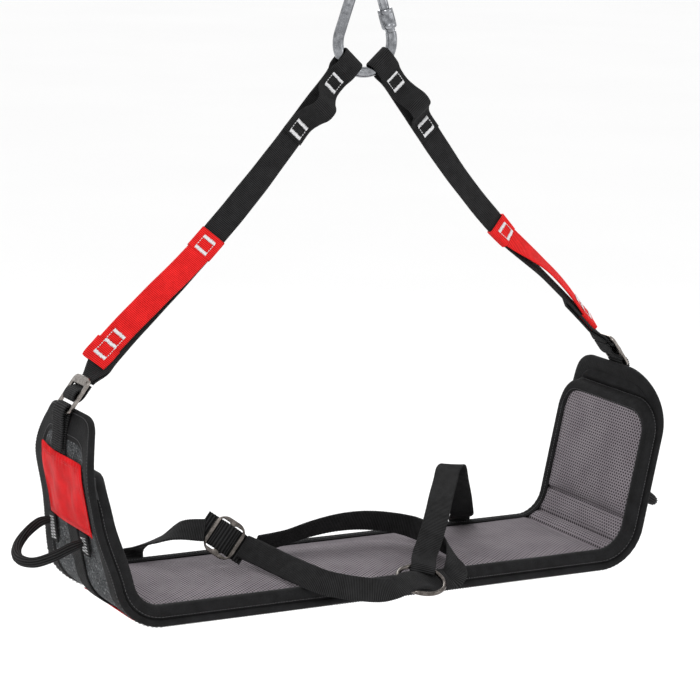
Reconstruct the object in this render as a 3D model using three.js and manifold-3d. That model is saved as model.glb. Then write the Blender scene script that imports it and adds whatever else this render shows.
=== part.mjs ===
// Suspended work seat: a padded U-shaped seat with two upturned wings, hung on two webbing
// straps from a pear-shaped steel carabiner, with a retaining strap lying over the pad.
// Millimetres, +Z up, +X along the seat, -Y at the sitter's front edge.
// The origin is the inside of the carabiner's narrow top, where the object hangs.
import * as THREE from 'three';
import { mergeVertices } from 'three/addons/utils/BufferGeometryUtils.js';
import Module from 'manifold-3d';

const wasm = await Module();
wasm.setup();

// ---------------------------------------------------------------- driving dimensions
const WEB_WIDTH = 25;            // all the black and red webbing
const WEB_THICK = 2.0;
const GAP = 0.4;                 // left between pieces that touch

const SEAT_TOP_Z = -585;         // sitting surface below the hang point
const FLAT_HALF = 249;           // half length of the flat bottom
const BEND_RADIUS = 32;
const WING_ANGLE = 78.7;         // degrees the wing rises from the bottom
const WING_STRAIGHT = 100.4;
const CURL_RADIUS = 80;          // the wing top curls in towards the straps

const PAD = { length: 421, half: 85, corner: 18 };      // unrolled half length, half depth
const SHELL = { length: 446, half: 88, corner: 56 };
const MESH_EDGE = 10;            // pad binding's width on the sitting side

// carabiner, about its wide end's centre
const BAR_R = 5.5;
const BASKET_R = 30;
const CROWN_R = 14;
const CROWN_RISE = 51;
const BASKET_Z = -(CROWN_RISE + CROWN_R - BAR_R);

// wing buckle: a three-bar slide, its top edge hung at this point
const BUCKLE_TOP = { x: -296, z: -373 };
const BUCKLE = { length: 40, width: 39, thick: 3, slope: 54 };
const BUCKLE_BARS = [0, 9, 17.5, 22.5, 33.5, 40];       // edges of the bars and slots
const STRAP_BOW = { left: 7, right: 13 };

const radians = THREE.MathUtils.degToRad;
const point = (x, y, z) => new THREE.Vector3(x, y, z);

// ---------------------------------------------------------------- colours
const finish = (color, roughness, metalness = 0) =>
  new THREE.MeshStandardMaterial({ color, roughness, metalness });
const BLACK_WEB = finish(0x232324, 0.8);
const RED_WEB = finish(0xe23236, 0.7);
const RED_FABRIC = finish(0xd5303a, 0.75);
const GREY_FELT = finish(0x4b4e50, 0.95);
const GREY_MESH = finish(0x80767c, 0.9);
const FOAM = finish(0x3a3a3c, 0.95);
const BOARD = finish(0x1d1d1f, 0.6);
const STEEL = finish(0xc9cacc, 0.18, 1);
const GUNMETAL = finish(0x7d736e, 0.35, 1);

const seat = new THREE.Group();
function add(name, geometry, material) {
  const mesh = new THREE.Mesh(geometry, material);
  mesh.name = name;
  seat.add(mesh);
  return mesh;
}

// ---------------------------------------------------------------- lofting
// Joins rings of points (all with the same count) into one closed surface. A closed
// loft joins the last ring to the first, and an open one gets flat ends.
function loft(rings, closed = false) {
  const sides = rings[0].length;
  const positions = rings.flat().flatMap((p) => [p.x, p.y, p.z]);
  const faces = [];
  const spans = closed ? rings.length : rings.length - 1;
  for (let i = 0; i < spans; i++) {
    const next = (i + 1) % rings.length;
    for (let j = 0; j < sides; j++) {
      const k = (j + 1) % sides;
      const [a, b, c, d] = [i * sides + j, i * sides + k, next * sides + k, next * sides + j];
      faces.push(a, b, c, a, c, d);
    }
  }
  if (!closed) {
    const last = (rings.length - 1) * sides;
    for (let j = 1; j < sides - 1; j++) {
      faces.push(0, j + 1, j, last, last + j, last + j + 1);
    }
  }
  if (signedVolume(positions, faces) < 0) faces.reverse();
  const geometry = new THREE.BufferGeometry();
  geometry.setAttribute('position', new THREE.Float32BufferAttribute(positions, 3));
  geometry.setIndex(faces);
  return geometry;
}

function signedVolume(positions, faces) {
  const at = (i) => point(...positions.slice(3 * i, 3 * i + 3));
  let volume = 0;
  for (let i = 0; i < faces.length; i += 3) {
    volume += at(faces[i]).dot(at(faces[i + 1]).cross(at(faces[i + 2])));
  }
  return volume;
}

// A flat strip of webbing. Each frame has its middle p, its direction across w, its face n.
function ribbon(frames, { width = WEB_WIDTH, thick = WEB_THICK, lift = 0 } = {}) {
  const corners = [[-1, -1], [1, -1], [1, 1], [-1, 1]];
  return loft(frames.map(({ p, w, n }) => corners.map(([across, up]) => p.clone()
    .addScaledVector(w, across * width / 2)
    .addScaledVector(n, lift + up * thick / 2))));
}

// Frames along a curve through hand-placed points, with the strip's direction across
// given at each point and blended between them.
function routeFrames(route, steps) {
  const curve = new THREE.CatmullRomCurve3(route.map((r) => point(...r.at)), false, 'centripetal');
  const frames = [];
  for (let i = 0; i <= steps; i++) {
    const t = i / steps;
    const place = t * (route.length - 1);
    const before = Math.min(Math.floor(place), route.length - 2);
    const across = point(...route[before].across).normalize()
      .lerp(point(...route[before + 1].across).normalize(), place - before);
    const p = curve.getPoint(t);
    const along = curve.getTangent(t);
    const n = along.clone().cross(across).normalize();
    frames.push({ p, w: n.clone().cross(along).normalize(), n });
  }
  return frames;
}

// ---------------------------------------------------------------- the seat's curved surface
// A place on the sitting surface: s runs from the middle of the seat up the wing, y across
// it, and n is the depth below it.
const BEND_LENGTH = BEND_RADIUS * radians(WING_ANGLE);
const WING_START = FLAT_HALF + BEND_LENGTH;
const CURL_START = WING_START + WING_STRAIGHT;

function surfaceAt(s, y, n) {
  const run = Math.abs(s);
  const rise = radians(WING_ANGLE);
  let x = Math.min(run, FLAT_HALF);
  let z = 0;
  let angle = 0;
  if (run > FLAT_HALF) {
    angle = Math.min((run - FLAT_HALF) / BEND_RADIUS, rise);
    x += BEND_RADIUS * Math.sin(angle);
    z += BEND_RADIUS * (1 - Math.cos(angle));
  }
  if (run > WING_START) {
    const up = Math.min(run - WING_START, WING_STRAIGHT);
    x += up * Math.cos(rise);
    z += up * Math.sin(rise);
  }
  if (run > CURL_START) {
    angle = rise + (run - CURL_START) / CURL_RADIUS;
    x += CURL_RADIUS * (Math.sin(angle) - Math.sin(rise));
    z += CURL_RADIUS * (Math.cos(rise) - Math.cos(angle));
  }
  x += n * Math.sin(angle);
  z -= n * Math.cos(angle);
  return point(Math.sign(s) * x, y, SEAT_TOP_Z + z);
}

// Stations from one end to the other, closer together where the surface bends.
function stations(from, to) {
  const marks = new Set([from, to]);
  for (const side of [-1, 1]) {
    for (let i = 0; i <= 8; i++) marks.add(side * (FLAT_HALF + BEND_LENGTH * i / 8));
    for (let i = 0; i <= 8; i++) marks.add(side * (CURL_START + i * 7));
    marks.add(side * FLAT_HALF / 2);
  }
  return [...marks].filter((s) => s >= from && s <= to).sort((a, b) => a - b);
}

// Half the depth of an outline with rounded ends, inset by an even margin.
function outlineHalf(s, { length, half, corner }, inset = 0) {
  const radius = corner - inset;
  const into = Math.abs(s) - (length - corner);
  const square = half - corner;
  if (into <= 0) return square + radius;
  return square + Math.sqrt(Math.max(radius * radius - into * into, 0));
}

// A layer of the seat between two depths, over a stretch of its length and depth.
function layer(from, to, n0, n1, y0, y1 = -y0) {
  return loft(stations(from, to).map((s) => [
    surfaceAt(s, y0, n0), surfaceAt(s, y1, n0), surfaceAt(s, y1, n1), surfaceAt(s, y0, n1)]));
}

function outlinedLayer(outline, inset, n0, n1, from, to) {
  const end = outline.length - inset - 0.05;
  const start = from ?? -end;
  const stop = to ?? end;
  const rounded = [];
  for (const side of [-1, 1]) {
    for (let i = 1; i <= 6; i++) {
      const into = (outline.corner - inset) * Math.sin(i / 6 * Math.PI / 2);
      rounded.push(side * Math.min(outline.length - outline.corner + into, end));
    }
  }
  const marks = [...stations(start, stop), ...rounded.filter((s) => s > start && s < stop)]
    .sort((a, b) => a - b)
    .filter((s, i, all) => i === 0 || s - all[i - 1] > 0.01);
  return loft(marks.map((s) => {
    const y = outlineHalf(s, outline, inset);
    return [surfaceAt(s, -y, n0), surfaceAt(s, y, n0), surfaceAt(s, y, n1), surfaceAt(s, -y, n1)];
  }));
}

// The closed perimeter of an outline as (s, y) places with their inward direction.
function perimeter({ length, half, corner }) {
  const path = [];
  const straight = stations(-(length - corner), length - corner);
  const steps = 7;
  for (const side of [1, -1]) {
    const run = side > 0 ? straight : [...straight].reverse();
    for (const s of run.slice(1, -1)) path.push({ s, y: -side * half, inward: [0, side] });
    for (const quarter of [-1, 1]) {
      for (let i = 0; i <= steps; i++) {
        const turn = (quarter < 0 ? -1 + i / steps : i / steps) * Math.PI / 2;
        path.push({
          s: side * (length - corner + corner * Math.cos(turn)),
          y: side * (quarter * (half - corner) + corner * Math.sin(turn)),
          inward: [-side * Math.cos(turn), -side * Math.sin(turn)],
        });
      }
    }
  }
  return path;
}

// Folded tape round an outline: an open channel, given as (inset, depth) corners.
function edging(outline, section) {
  return loft(perimeter(outline).map(({ s, y, inward }) => section.map(([inset, n]) =>
    surfaceAt(s + inward[0] * inset, y + inward[1] * inset, n))), true);
}

// ---------------------------------------------------------------- pad, shell and inner pieces
const DEPTH = {
  cover: [0, 1.2], foam: [1.5, 8.9], board: [9.2, 11.2], lining: [12.0, 12.9],
  felt: [13.2, 16.9], loadWeb: [17.4, 19.4], panel: [19.8, 20.8], gearBase: [19.8, 21.8],
};
const FOLDS = [257.8, 272.8, 297.8];      // where the channels between the foams lie

function padAndShell() {
  add('pad_mesh_cover', outlinedLayer(PAD, 2, ...DEPTH.cover), GREY_MESH);
  const foamHalf = PAD.half - 2;
  add('seat_foam', layer(-FOLDS[0], FOLDS[0], ...DEPTH.foam, foamHalf), FOAM);
  add('seat_board', layer(-240, 240, ...DEPTH.board, foamHalf - 3), BOARD);
  for (const [side, sign] of [['left', -1], ['right', 1]]) {
    const span = (a, b) => (sign > 0 ? [a, b] : [-b, -a]);
    const end = PAD.length - 2.05;
    add(`${side}_lower_fold_foam`, layer(...span(FOLDS[0] + GAP, FOLDS[1]), ...DEPTH.foam, foamHalf), FOAM);
    add(`${side}_upper_fold_foam`, layer(...span(FOLDS[1] + GAP, FOLDS[2]), ...DEPTH.foam, foamHalf), FOAM);
    add(`${side}_wing_foam`, outlinedLayer(PAD, 2, ...DEPTH.foam, ...span(FOLDS[2] + GAP, end)), FOAM);
    add(`${side}_wing_stiffener`, layer(...span(302, 402), ...DEPTH.board, foamHalf - 3), BOARD);
    const liningEnd = SHELL.length - 13.45;
    add(`${side}_wing_lining`,
      outlinedLayer(SHELL, 13.4, ...DEPTH.lining, ...span(421.6, liningEnd)), BLACK_WEB);
    add(`${side}_wing_patch`, layer(...span(340, 409), ...DEPTH.panel, 57), RED_FABRIC);
    add(`${side}_gear_loop_base`, layer(...span(316, 338.5), ...DEPTH.gearBase, -42, 70), BLACK_WEB);
  }
  add('outer_shell', outlinedLayer(SHELL, 2.8, ...DEPTH.felt), GREY_FELT);
  add('load_webbing', layer(-404, 404, ...DEPTH.loadWeb, WEB_WIDTH / 2), BLACK_WEB);
  add('underside_panel', layer(-262, 262, ...DEPTH.panel, 60), RED_FABRIC);

  add('pad_binding', edging(PAD, [
    [0, -1.4], [MESH_EDGE, -1.4], [MESH_EDGE, -0.4], [1.5, -0.4],
    [1.5, 11.5], [MESH_EDGE, 11.5], [MESH_EDGE, 11.9], [0, 11.9]]), BLACK_WEB);
  add('shell_binding', edging(SHELL, [
    [0, 12.4], [6, 12.4], [12, 12.4], [12, 12.9], [6, 12.9], [2.0, 12.9],
    [2.0, 17.3], [9, 17.3], [16, 17.3], [24, 17.3],
    [24, 18.1], [16, 18.1], [9, 18.1], [0, 18.1]]), BLACK_WEB);
}

// ---------------------------------------------------------------- mirrored places
const mirrored = (frames, sign) => (sign < 0 ? frames : frames.map(({ p, w, n }) => ({
  p: point(-p.x, p.y, p.z), w: point(-w.x, w.y, w.z), n: point(-n.x, n.y, n.z) })));

// The buckle's own axes on the left wing: down its length, and out from its face.
const slope = radians(BUCKLE.slope);
const buckleDown = point(-Math.cos(slope), 0, -Math.sin(slope));
const buckleOut = point(-Math.sin(slope), 0, Math.cos(slope));
const onBuckle = (u, out) => point(BUCKLE_TOP.x, 0, BUCKLE_TOP.z)
  .addScaledVector(buckleDown, u).addScaledVector(buckleOut, out);

// A strip that keeps its width along Y and follows points in the XZ plane.
function flatFrames(points, steps) {
  const curve = new THREE.CatmullRomCurve3(points, false, 'centripetal');
  return Array.from({ length: steps + 1 }, (_, i) => {
    const along = curve.getTangent(i / steps);
    return { p: curve.getPoint(i / steps), w: point(0, 1, 0), n: point(-along.z, 0, along.x) };
  });
}

// ---------------------------------------------------------------- wing buckles and their loops
function buckleGeometry() {
  const { length, width, thick } = BUCKLE;
  const corner = 7;
  const plate = new THREE.Shape();
  plate.moveTo(-width / 2 + corner, 0);
  plate.absarc(width / 2 - corner, corner, corner, -Math.PI / 2, 0);
  plate.absarc(width / 2 - corner, length - corner, corner, 0, Math.PI / 2);
  plate.absarc(-width / 2 + corner, length - corner, corner, Math.PI / 2, Math.PI);
  plate.absarc(-width / 2 + corner, corner, corner, Math.PI, 1.5 * Math.PI);
  const reach = WEB_WIDTH / 2 + 1.2;
  for (const [low, high] of [[BUCKLE_BARS[1], BUCKLE_BARS[2]], [BUCKLE_BARS[3], BUCKLE_BARS[4]]]) {
    const slot = new THREE.Path();
    slot.moveTo(-reach, low);
    slot.lineTo(-reach, high);
    slot.lineTo(reach, high);
    slot.lineTo(reach, low);
    slot.closePath();
    plate.holes.push(slot);
  }
  const geometry = new THREE.ExtrudeGeometry(plate, { depth: thick, bevelEnabled: false, curveSegments: 5 });
  geometry.translate(0, 0, -thick / 2);
  return geometry;
}

function wingHardware(side, sign) {
  const across = point(0, -sign, 0);
  const down = point(-sign * buckleDown.x, 0, buckleDown.z);
  const out = across.clone().cross(down);
  const top = point(-sign * BUCKLE_TOP.x, 0, BUCKLE_TOP.z);
  const buckle = add(`${side}_buckle`, buckleGeometry(), GUNMETAL);
  buckle.applyMatrix4(new THREE.Matrix4().makeBasis(across, down, out).setPosition(top));

  // webbing loop from the wing's outside, round the buckle's bottom bar
  const bar = (BUCKLE_BARS[4] + BUCKLE_BARS[5]) / 2;
  const reach = BUCKLE.thick / 2 + GAP + 0.2 + WEB_THICK / 2;
  const wing = (s, n) => surfaceAt(-s, 0, n);
  const loop = [wing(404.6, 18.5), wing(412, 18.7), wing(422, 19.8), onBuckle(bar + 1.5, -reach),
    onBuckle(BUCKLE_BARS[4] - 0.6, -reach), onBuckle(BUCKLE_BARS[4] - 2.4, 0),
    onBuckle(BUCKLE_BARS[4] - 0.6, reach), onBuckle(bar + 3, reach + 0.2), wing(428, 24.2),
    wing(420, 23.0), wing(412, 22.6)];
  add(`${side}_wing_loop`, ribbon(mirrored(flatFrames(loop, 44), sign)), BLACK_WEB);

  // the hanging strap's turn over the buckle's middle bar
  const turn = [[6.5, -3.2], [10, -2.6], [13.3, 0.2], [16, 2.7], [20, 3.4], [24, 2.7],
    [25.6, 0], [24.2, -3.6], [19, -5.8], [11, -6.2], [5, -6.3]].map(([u, n]) => onBuckle(u, n));
  add(`${side}_strap_turn`, ribbon(mirrored(flatFrames(turn, 36), sign)), BLACK_WEB);
}

// ---------------------------------------------------------------- hanging straps
const STRAP_END = onBuckle(4, -3.2);
const STRAP_FROM = point(0, 0, BASKET_Z);
const STRAP_LENGTH = STRAP_END.distanceTo(STRAP_FROM);
const SEAM = 118;                 // where the sewn head ends and the plain strap begins
const HEAD = {
  back: 1.3,                      // the back ply's distance behind the carabiner's middle
  closed: 46,                     // where the two plies meet below the carabiner
  ply: 2.6,                       // the front ply's height over the back ply
  slack: [60, 98],                // the loose bulge between the two box seams
  bulge: 19,
  end: 114,
};
const KEEPER = { from: 246, to: 414, width: 27, thick: 2.2, low: 2.8, rise: 5.5, flat: 0.12 };
const TAIL = { length: 66, gap: 3.6 };

// Each strap is twisted a quarter turn in all, in stages of so many degrees between two distances.
const STRAP_TURNS = {
  left: [{ from: 150, to: 434, angle: 20 }, { from: 330, to: 432, angle: 70 }],
  right: [{ from: 120, to: 200, angle: 12 }, { from: 230, to: 345, angle: 38 },
    { from: 385, to: 432, angle: 40 }],
};

// How far the strap has turned from facing forward to facing outward, at a distance a.
function strapTurn(a, side) {
  const total = STRAP_TURNS[side].reduce(
    (sum, { from, to, angle }) => sum + angle * THREE.MathUtils.smoothstep(a, from, to), 0);
  return THREE.MathUtils.degToRad(total);
}

// The strap's middle line on the left, and the frame of the webbing there.
function strapFrame(a, side) {
  const along = STRAP_END.clone().sub(STRAP_FROM).normalize();
  const inward = point(-along.z, 0, along.x);
  const share = THREE.MathUtils.clamp(a / STRAP_LENGTH, 0, 1);
  const bow = STRAP_BOW[side] * Math.sin(Math.PI * share) ** 2;
  const turn = strapTurn(a, side);
  const w = inward.clone().multiplyScalar(Math.cos(turn));
  w.addScaledVector(point(0, -1, 0), Math.sin(turn));
  const n = along.clone().cross(w).normalize();
  const p = STRAP_FROM.clone().addScaledVector(along, a).addScaledVector(inward, bow);
  p.addScaledVector(n, -HEAD.back * (1 - share));
  return { p, w, n, along };
}

// Places in the head given by the distance along the strap and the height off its back ply.
function headFrames(places, steps, side) {
  const curve = new THREE.CatmullRomCurve3(places.map(([a, h]) => point(a, h, 0)), false, 'centripetal');
  return Array.from({ length: steps + 1 }, (_, i) => {
    const at = curve.getPoint(i / steps);
    const run = curve.getTangent(i / steps);
    const { p, w, n, along } = strapFrame(at.x, side);
    return {
      p: p.addScaledVector(n, at.y),
      w,
      n: n.multiplyScalar(run.x).addScaledVector(along, -run.y),
    };
  });
}

// The sewn head's route: up its back ply, round the carabiner's bar and down to its end.
function headRoute() {
  const inside = Math.sqrt((BASKET_R - BAR_R) ** 2 - (WEB_WIDTH / 2) ** 2);
  const fold = inside - 2 * GAP - WEB_THICK / 2;
  const round = BAR_R + GAP + WEB_THICK / 2;
  const { back, closed, ply, slack: [slackFrom, slackTo], bulge, end } = HEAD;
  const route = [[SEAM, 0], [80, 0], [closed, 0], [closed - 8, back - round + 0.6], [BASKET_R, back - round]];
  for (let i = 1; i < 8; i++) {
    const angle = -Math.PI / 2 + Math.PI * i / 8;
    route.push([fold + round - round * Math.cos(angle), back + round * Math.sin(angle)]);
  }
  route.push([BASKET_R, back + round], [closed - 8, back + round - 0.8], [closed, 3.0], [slackFrom, ply]);
  for (const share of [0.2, 0.4, 0.6, 0.8]) {
    const out = bulge * Math.sin(Math.PI * share) ** 2;
    route.push([slackFrom + (slackTo - slackFrom) * share, ply + out]);
  }
  route.push([slackTo, ply], [end, ply]);
  return route;
}

// Frames along the strap from one distance to another, lifted off its face.
function strapStretch(side, from, to, steps, lift = () => 0) {
  return Array.from({ length: steps + 1 }, (_, i) => {
    const frame = strapFrame(from + (to - from) * i / steps, side);
    frame.p.addScaledVector(frame.n, lift(i / steps));
    return frame;
  });
}

function hangingStrap(side, sign) {
  const place = (name, frames, material = BLACK_WEB, size = {}) =>
    add(`${side}_${name}`, ribbon(mirrored(frames, sign), size), material);
  place('strap_head', headFrames(headRoute(), 90, side));
  place('strap_run', strapStretch(side, SEAM + GAP, STRAP_LENGTH + 1, 40));
  place('strap_tail', strapStretch(side, STRAP_LENGTH - TAIL.length, STRAP_LENGTH - 1.5, 10,
    (t) => -TAIL.gap + 0.4 * t));

  // the red keeper over the strap's face, standing off it between its two sewn ends
  const standOff = (t) => {
    const share = THREE.MathUtils.clamp((t - KEEPER.flat) / (1 - 2 * KEEPER.flat), 0, 1);
    return KEEPER.low + KEEPER.rise * Math.sin(Math.PI * share);
  };
  place('red_keeper', strapStretch(side, KEEPER.from, KEEPER.to, 30, standOff), RED_WEB,
    { width: KEEPER.width, thick: KEEPER.thick });
}

// ---------------------------------------------------------------- gear loops
function gearLoop(side, sign) {
  const route = [[-311.5, 57, -526], [-323, 56, -529], [-343, 50, -540], [-359, 34, -549],
    [-364, 12, -553], [-357, -10, -550], [-340, -24, -541], [-323, -29, -530], [-311.5, -29, -526]];
  const curve = new THREE.CatmullRomCurve3(
    route.map(([x, y, z]) => point(-sign * x, y, z)), false, 'centripetal');
  const section = new THREE.Shape().absarc(0, 0, 4.7, 0, 2 * Math.PI);
  add(`${side}_gear_loop`, new THREE.ExtrudeGeometry(section,
    { steps: 28, curveSegments: 5, extrudePath: curve, bevelEnabled: false }), BLACK_WEB);
}

// ---------------------------------------------------------------- carabiner
const toSolid = (geometry) => {
  const bare = geometry.clone().deleteAttribute('normal').deleteAttribute('uv');
  const merged = mergeVertices(bare, 1e-4);
  return new wasm.Manifold(new wasm.Mesh({
    numProp: 3,
    vertProperties: new Float32Array(merged.attributes.position.array),
    triVerts: new Uint32Array(merged.index.array),
  }));
};
const toGeometry = (solid) => {
  const mesh = solid.getMesh();
  const geometry = new THREE.BufferGeometry();
  geometry.setAttribute('position', new THREE.BufferAttribute(mesh.vertProperties, 3));
  geometry.setIndex(new THREE.BufferAttribute(mesh.triVerts, 1));
  return geometry;
};

// A place on the carabiner's straight gate side: u runs up from the nose.
const taper = Math.asin((BASKET_R - CROWN_R) / CROWN_RISE);
const gateUp = point(-Math.sin(taper), 0, Math.cos(taper));
const noseEnd = point(BASKET_R * Math.cos(taper), 0, BASKET_Z + BASKET_R * Math.sin(taper));
const onGate = (u) => noseEnd.clone().addScaledVector(gateUp, u);
const PIVOT = 42;                 // the gate pin's place, up from the nose
const CHEEK_START = PIVOT - 4;
const FORK = { width: 6.6, above: 5.7 };      // the slot between the cheeks
const GATE = { radius: 5, start: 0.6, above: 3.4, tongue: 6 };
const PIN = { radius: 1.6, hole: 1.9, length: 10.2 };
const SPRING_BORE = 2.1;
const THROUGH = 20;               // longer than any cut needs

// A piece made along +Z from the nose, moved onto the gate side.
function ontoGate(geometry) {
  geometry.rotateY(-taper);
  geometry.translate(noseEnd.x, noseEnd.y, noseEnd.z);
  return geometry;
}
const rod = (radius, from, to, sides = 24) => {
  const geometry = new THREE.CylinderGeometry(radius, radius, to - from, sides);
  geometry.rotateX(Math.PI / 2);
  geometry.translate(0, 0, (from + to) / 2);
  return geometry;
};
const crossPin = (radius, length) => {
  const geometry = new THREE.CylinderGeometry(radius, radius, length, 16);
  geometry.translate(0, 0, PIVOT);
  return geometry;
};
const block = (x, y, z0, z1) => {
  const geometry = new THREE.BoxGeometry(x, y, z1 - z0);
  geometry.translate(0, 0, (z0 + z1) / 2);
  return geometry;
};

function carabinerBar() {
  const arc = (radius, centreZ, from, to, count) => Array.from({ length: count + 1 }, (_, i) => {
    const angle = from + (to - from) * i / count;
    return point(radius * Math.cos(angle), 0, centreZ + radius * Math.sin(angle));
  });
  const crown = arc(CROWN_R, BASKET_Z + CROWN_RISE, taper, Math.PI - taper, 10);
  const basket = arc(BASKET_R, BASKET_Z, Math.PI - taper, 2 * Math.PI + taper, 16);
  const corners = [onGate(CHEEK_START), ...crown, ...basket];
  return loft(corners.map((p, i) => {
    const before = corners[Math.max(i - 1, 0)];
    const after = corners[Math.min(i + 1, corners.length - 1)];
    const along = after.clone().sub(before).normalize();
    const side = point(0, 1, 0).cross(along).normalize();
    return Array.from({ length: 16 }, (_, k) => p.clone()
      .addScaledVector(side, BAR_R * Math.cos(k * Math.PI / 8))
      .addScaledVector(point(0, 1, 0), BAR_R * Math.sin(k * Math.PI / 8)));
  }));
}

function carabiner() {
  const fork = toSolid(ontoGate(block(THROUGH, FORK.width, CHEEK_START - 1, PIVOT + FORK.above)));
  const pinHole = toSolid(ontoGate(crossPin(PIN.hole, THROUGH)));
  add('carabiner_body', toGeometry(toSolid(carabinerBar()).subtract(fork).subtract(pinHole)), STEEL);
  add('carabiner_gate', ontoGate(gateGeometry()), STEEL);
  add('gate_pin', ontoGate(crossPin(PIN.radius, PIN.length)), STEEL);
  add('gate_spring', ontoGate(turned([[1.0, 23], [1.7, 23], [1.7, 36], [1.0, 36], [1.0, 23]], 12)), STEEL);
  add('lock_sleeve', ontoGate(turned(
    [[5.4, 4], [7.2, 4], [7.6, 6], [7.6, 22], [7.2, 24], [5.4, 24], [5.4, 4]], 28)), STEEL);
}

// The gate's round bar, flattened to a tongue at the pin and bored for the spring.
function gateGeometry() {
  const top = PIVOT + GATE.above;
  const cheek = (side) => {
    const depth = 4;
    const box = block(THROUGH, depth, PIVOT - 7, top + 1);
    box.translate(0, side * (GATE.tongue + depth) / 2, 0);
    return toSolid(box);
  };
  const gate = toSolid(rod(GATE.radius, GATE.start, top))
    .subtract(cheek(1)).subtract(cheek(-1))
    .subtract(toSolid(crossPin(PIN.hole, THROUGH)))
    .subtract(toSolid(rod(SPRING_BORE, PIVOT - 20, top + 1, 14)));
  return toGeometry(gate);
}

// A ring turned from a closed profile of (radius, height) corners.
function turned(profile, sides) {
  const lathe = new THREE.LatheGeometry(profile.map(([r, z]) => new THREE.Vector2(r, z)), sides);
  lathe.rotateX(Math.PI / 2);
  return facedOutward(lathe);
}

// Merges a lathe's seam and turns its faces outward.
function facedOutward(geometry) {
  const bare = geometry.clone().deleteAttribute('normal').deleteAttribute('uv');
  const merged = mergeVertices(bare, 1e-4);
  const positions = Array.from(merged.attributes.position.array);
  const faces = Array.from(merged.index.array);
  if (signedVolume(positions, faces) < 0) faces.reverse();
  merged.setIndex(faces);
  return merged;
}

// ---------------------------------------------------------------- retaining strap
const RING = { at: point(20.7, -106, -582.6), radius: 23.8, wire: 2.3 };
const RING_UP = point(0.015, -0.34, 0.935).normalize();

// A place on the strap that passes over the ring's left and under its right: t along it, up off the ring.
function throughRing([t, up]) {
  const way = point(1, 0.12, 0).projectOnPlane(RING_UP).normalize();
  const at = RING.at.clone().addScaledVector(way, t).addScaledVector(RING_UP, up);
  return { at: at.toArray(), across: [-0.28, 0.82, 0.5] };
}

// A strip's turn round the ring's wire, coming in on top from the given side.
function ringTurn(from) {
  const outward = from.clone().projectOnPlane(RING_UP).normalize();
  const wire = RING.at.clone().addScaledVector(outward, RING.radius);
  const across = RING_UP.clone().cross(outward).toArray();
  const clear = RING.wire + GAP + WEB_THICK / 2 + 0.5;
  const sag = RING.radius - Math.sqrt(RING.radius ** 2 - (WEB_WIDTH / 2) ** 2);
  return [[9, clear], [-sag, clear], [-sag - clear, 0], [-sag, -clear], [7, -clear]]
    .map(([out, up]) => ({
      at: wire.clone().addScaledVector(outward, out).addScaledVector(RING_UP, up).toArray(), across }));
}

// Keeps a turn's direction across pointing the same way as the rest of its strip.
const facing = (way) => (place) => {
  const flip = point(...place.across).dot(point(...way)) < 0 ? -1 : 1;
  return { at: place.at, across: place.across.map((v) => flip * v) };
};

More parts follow.
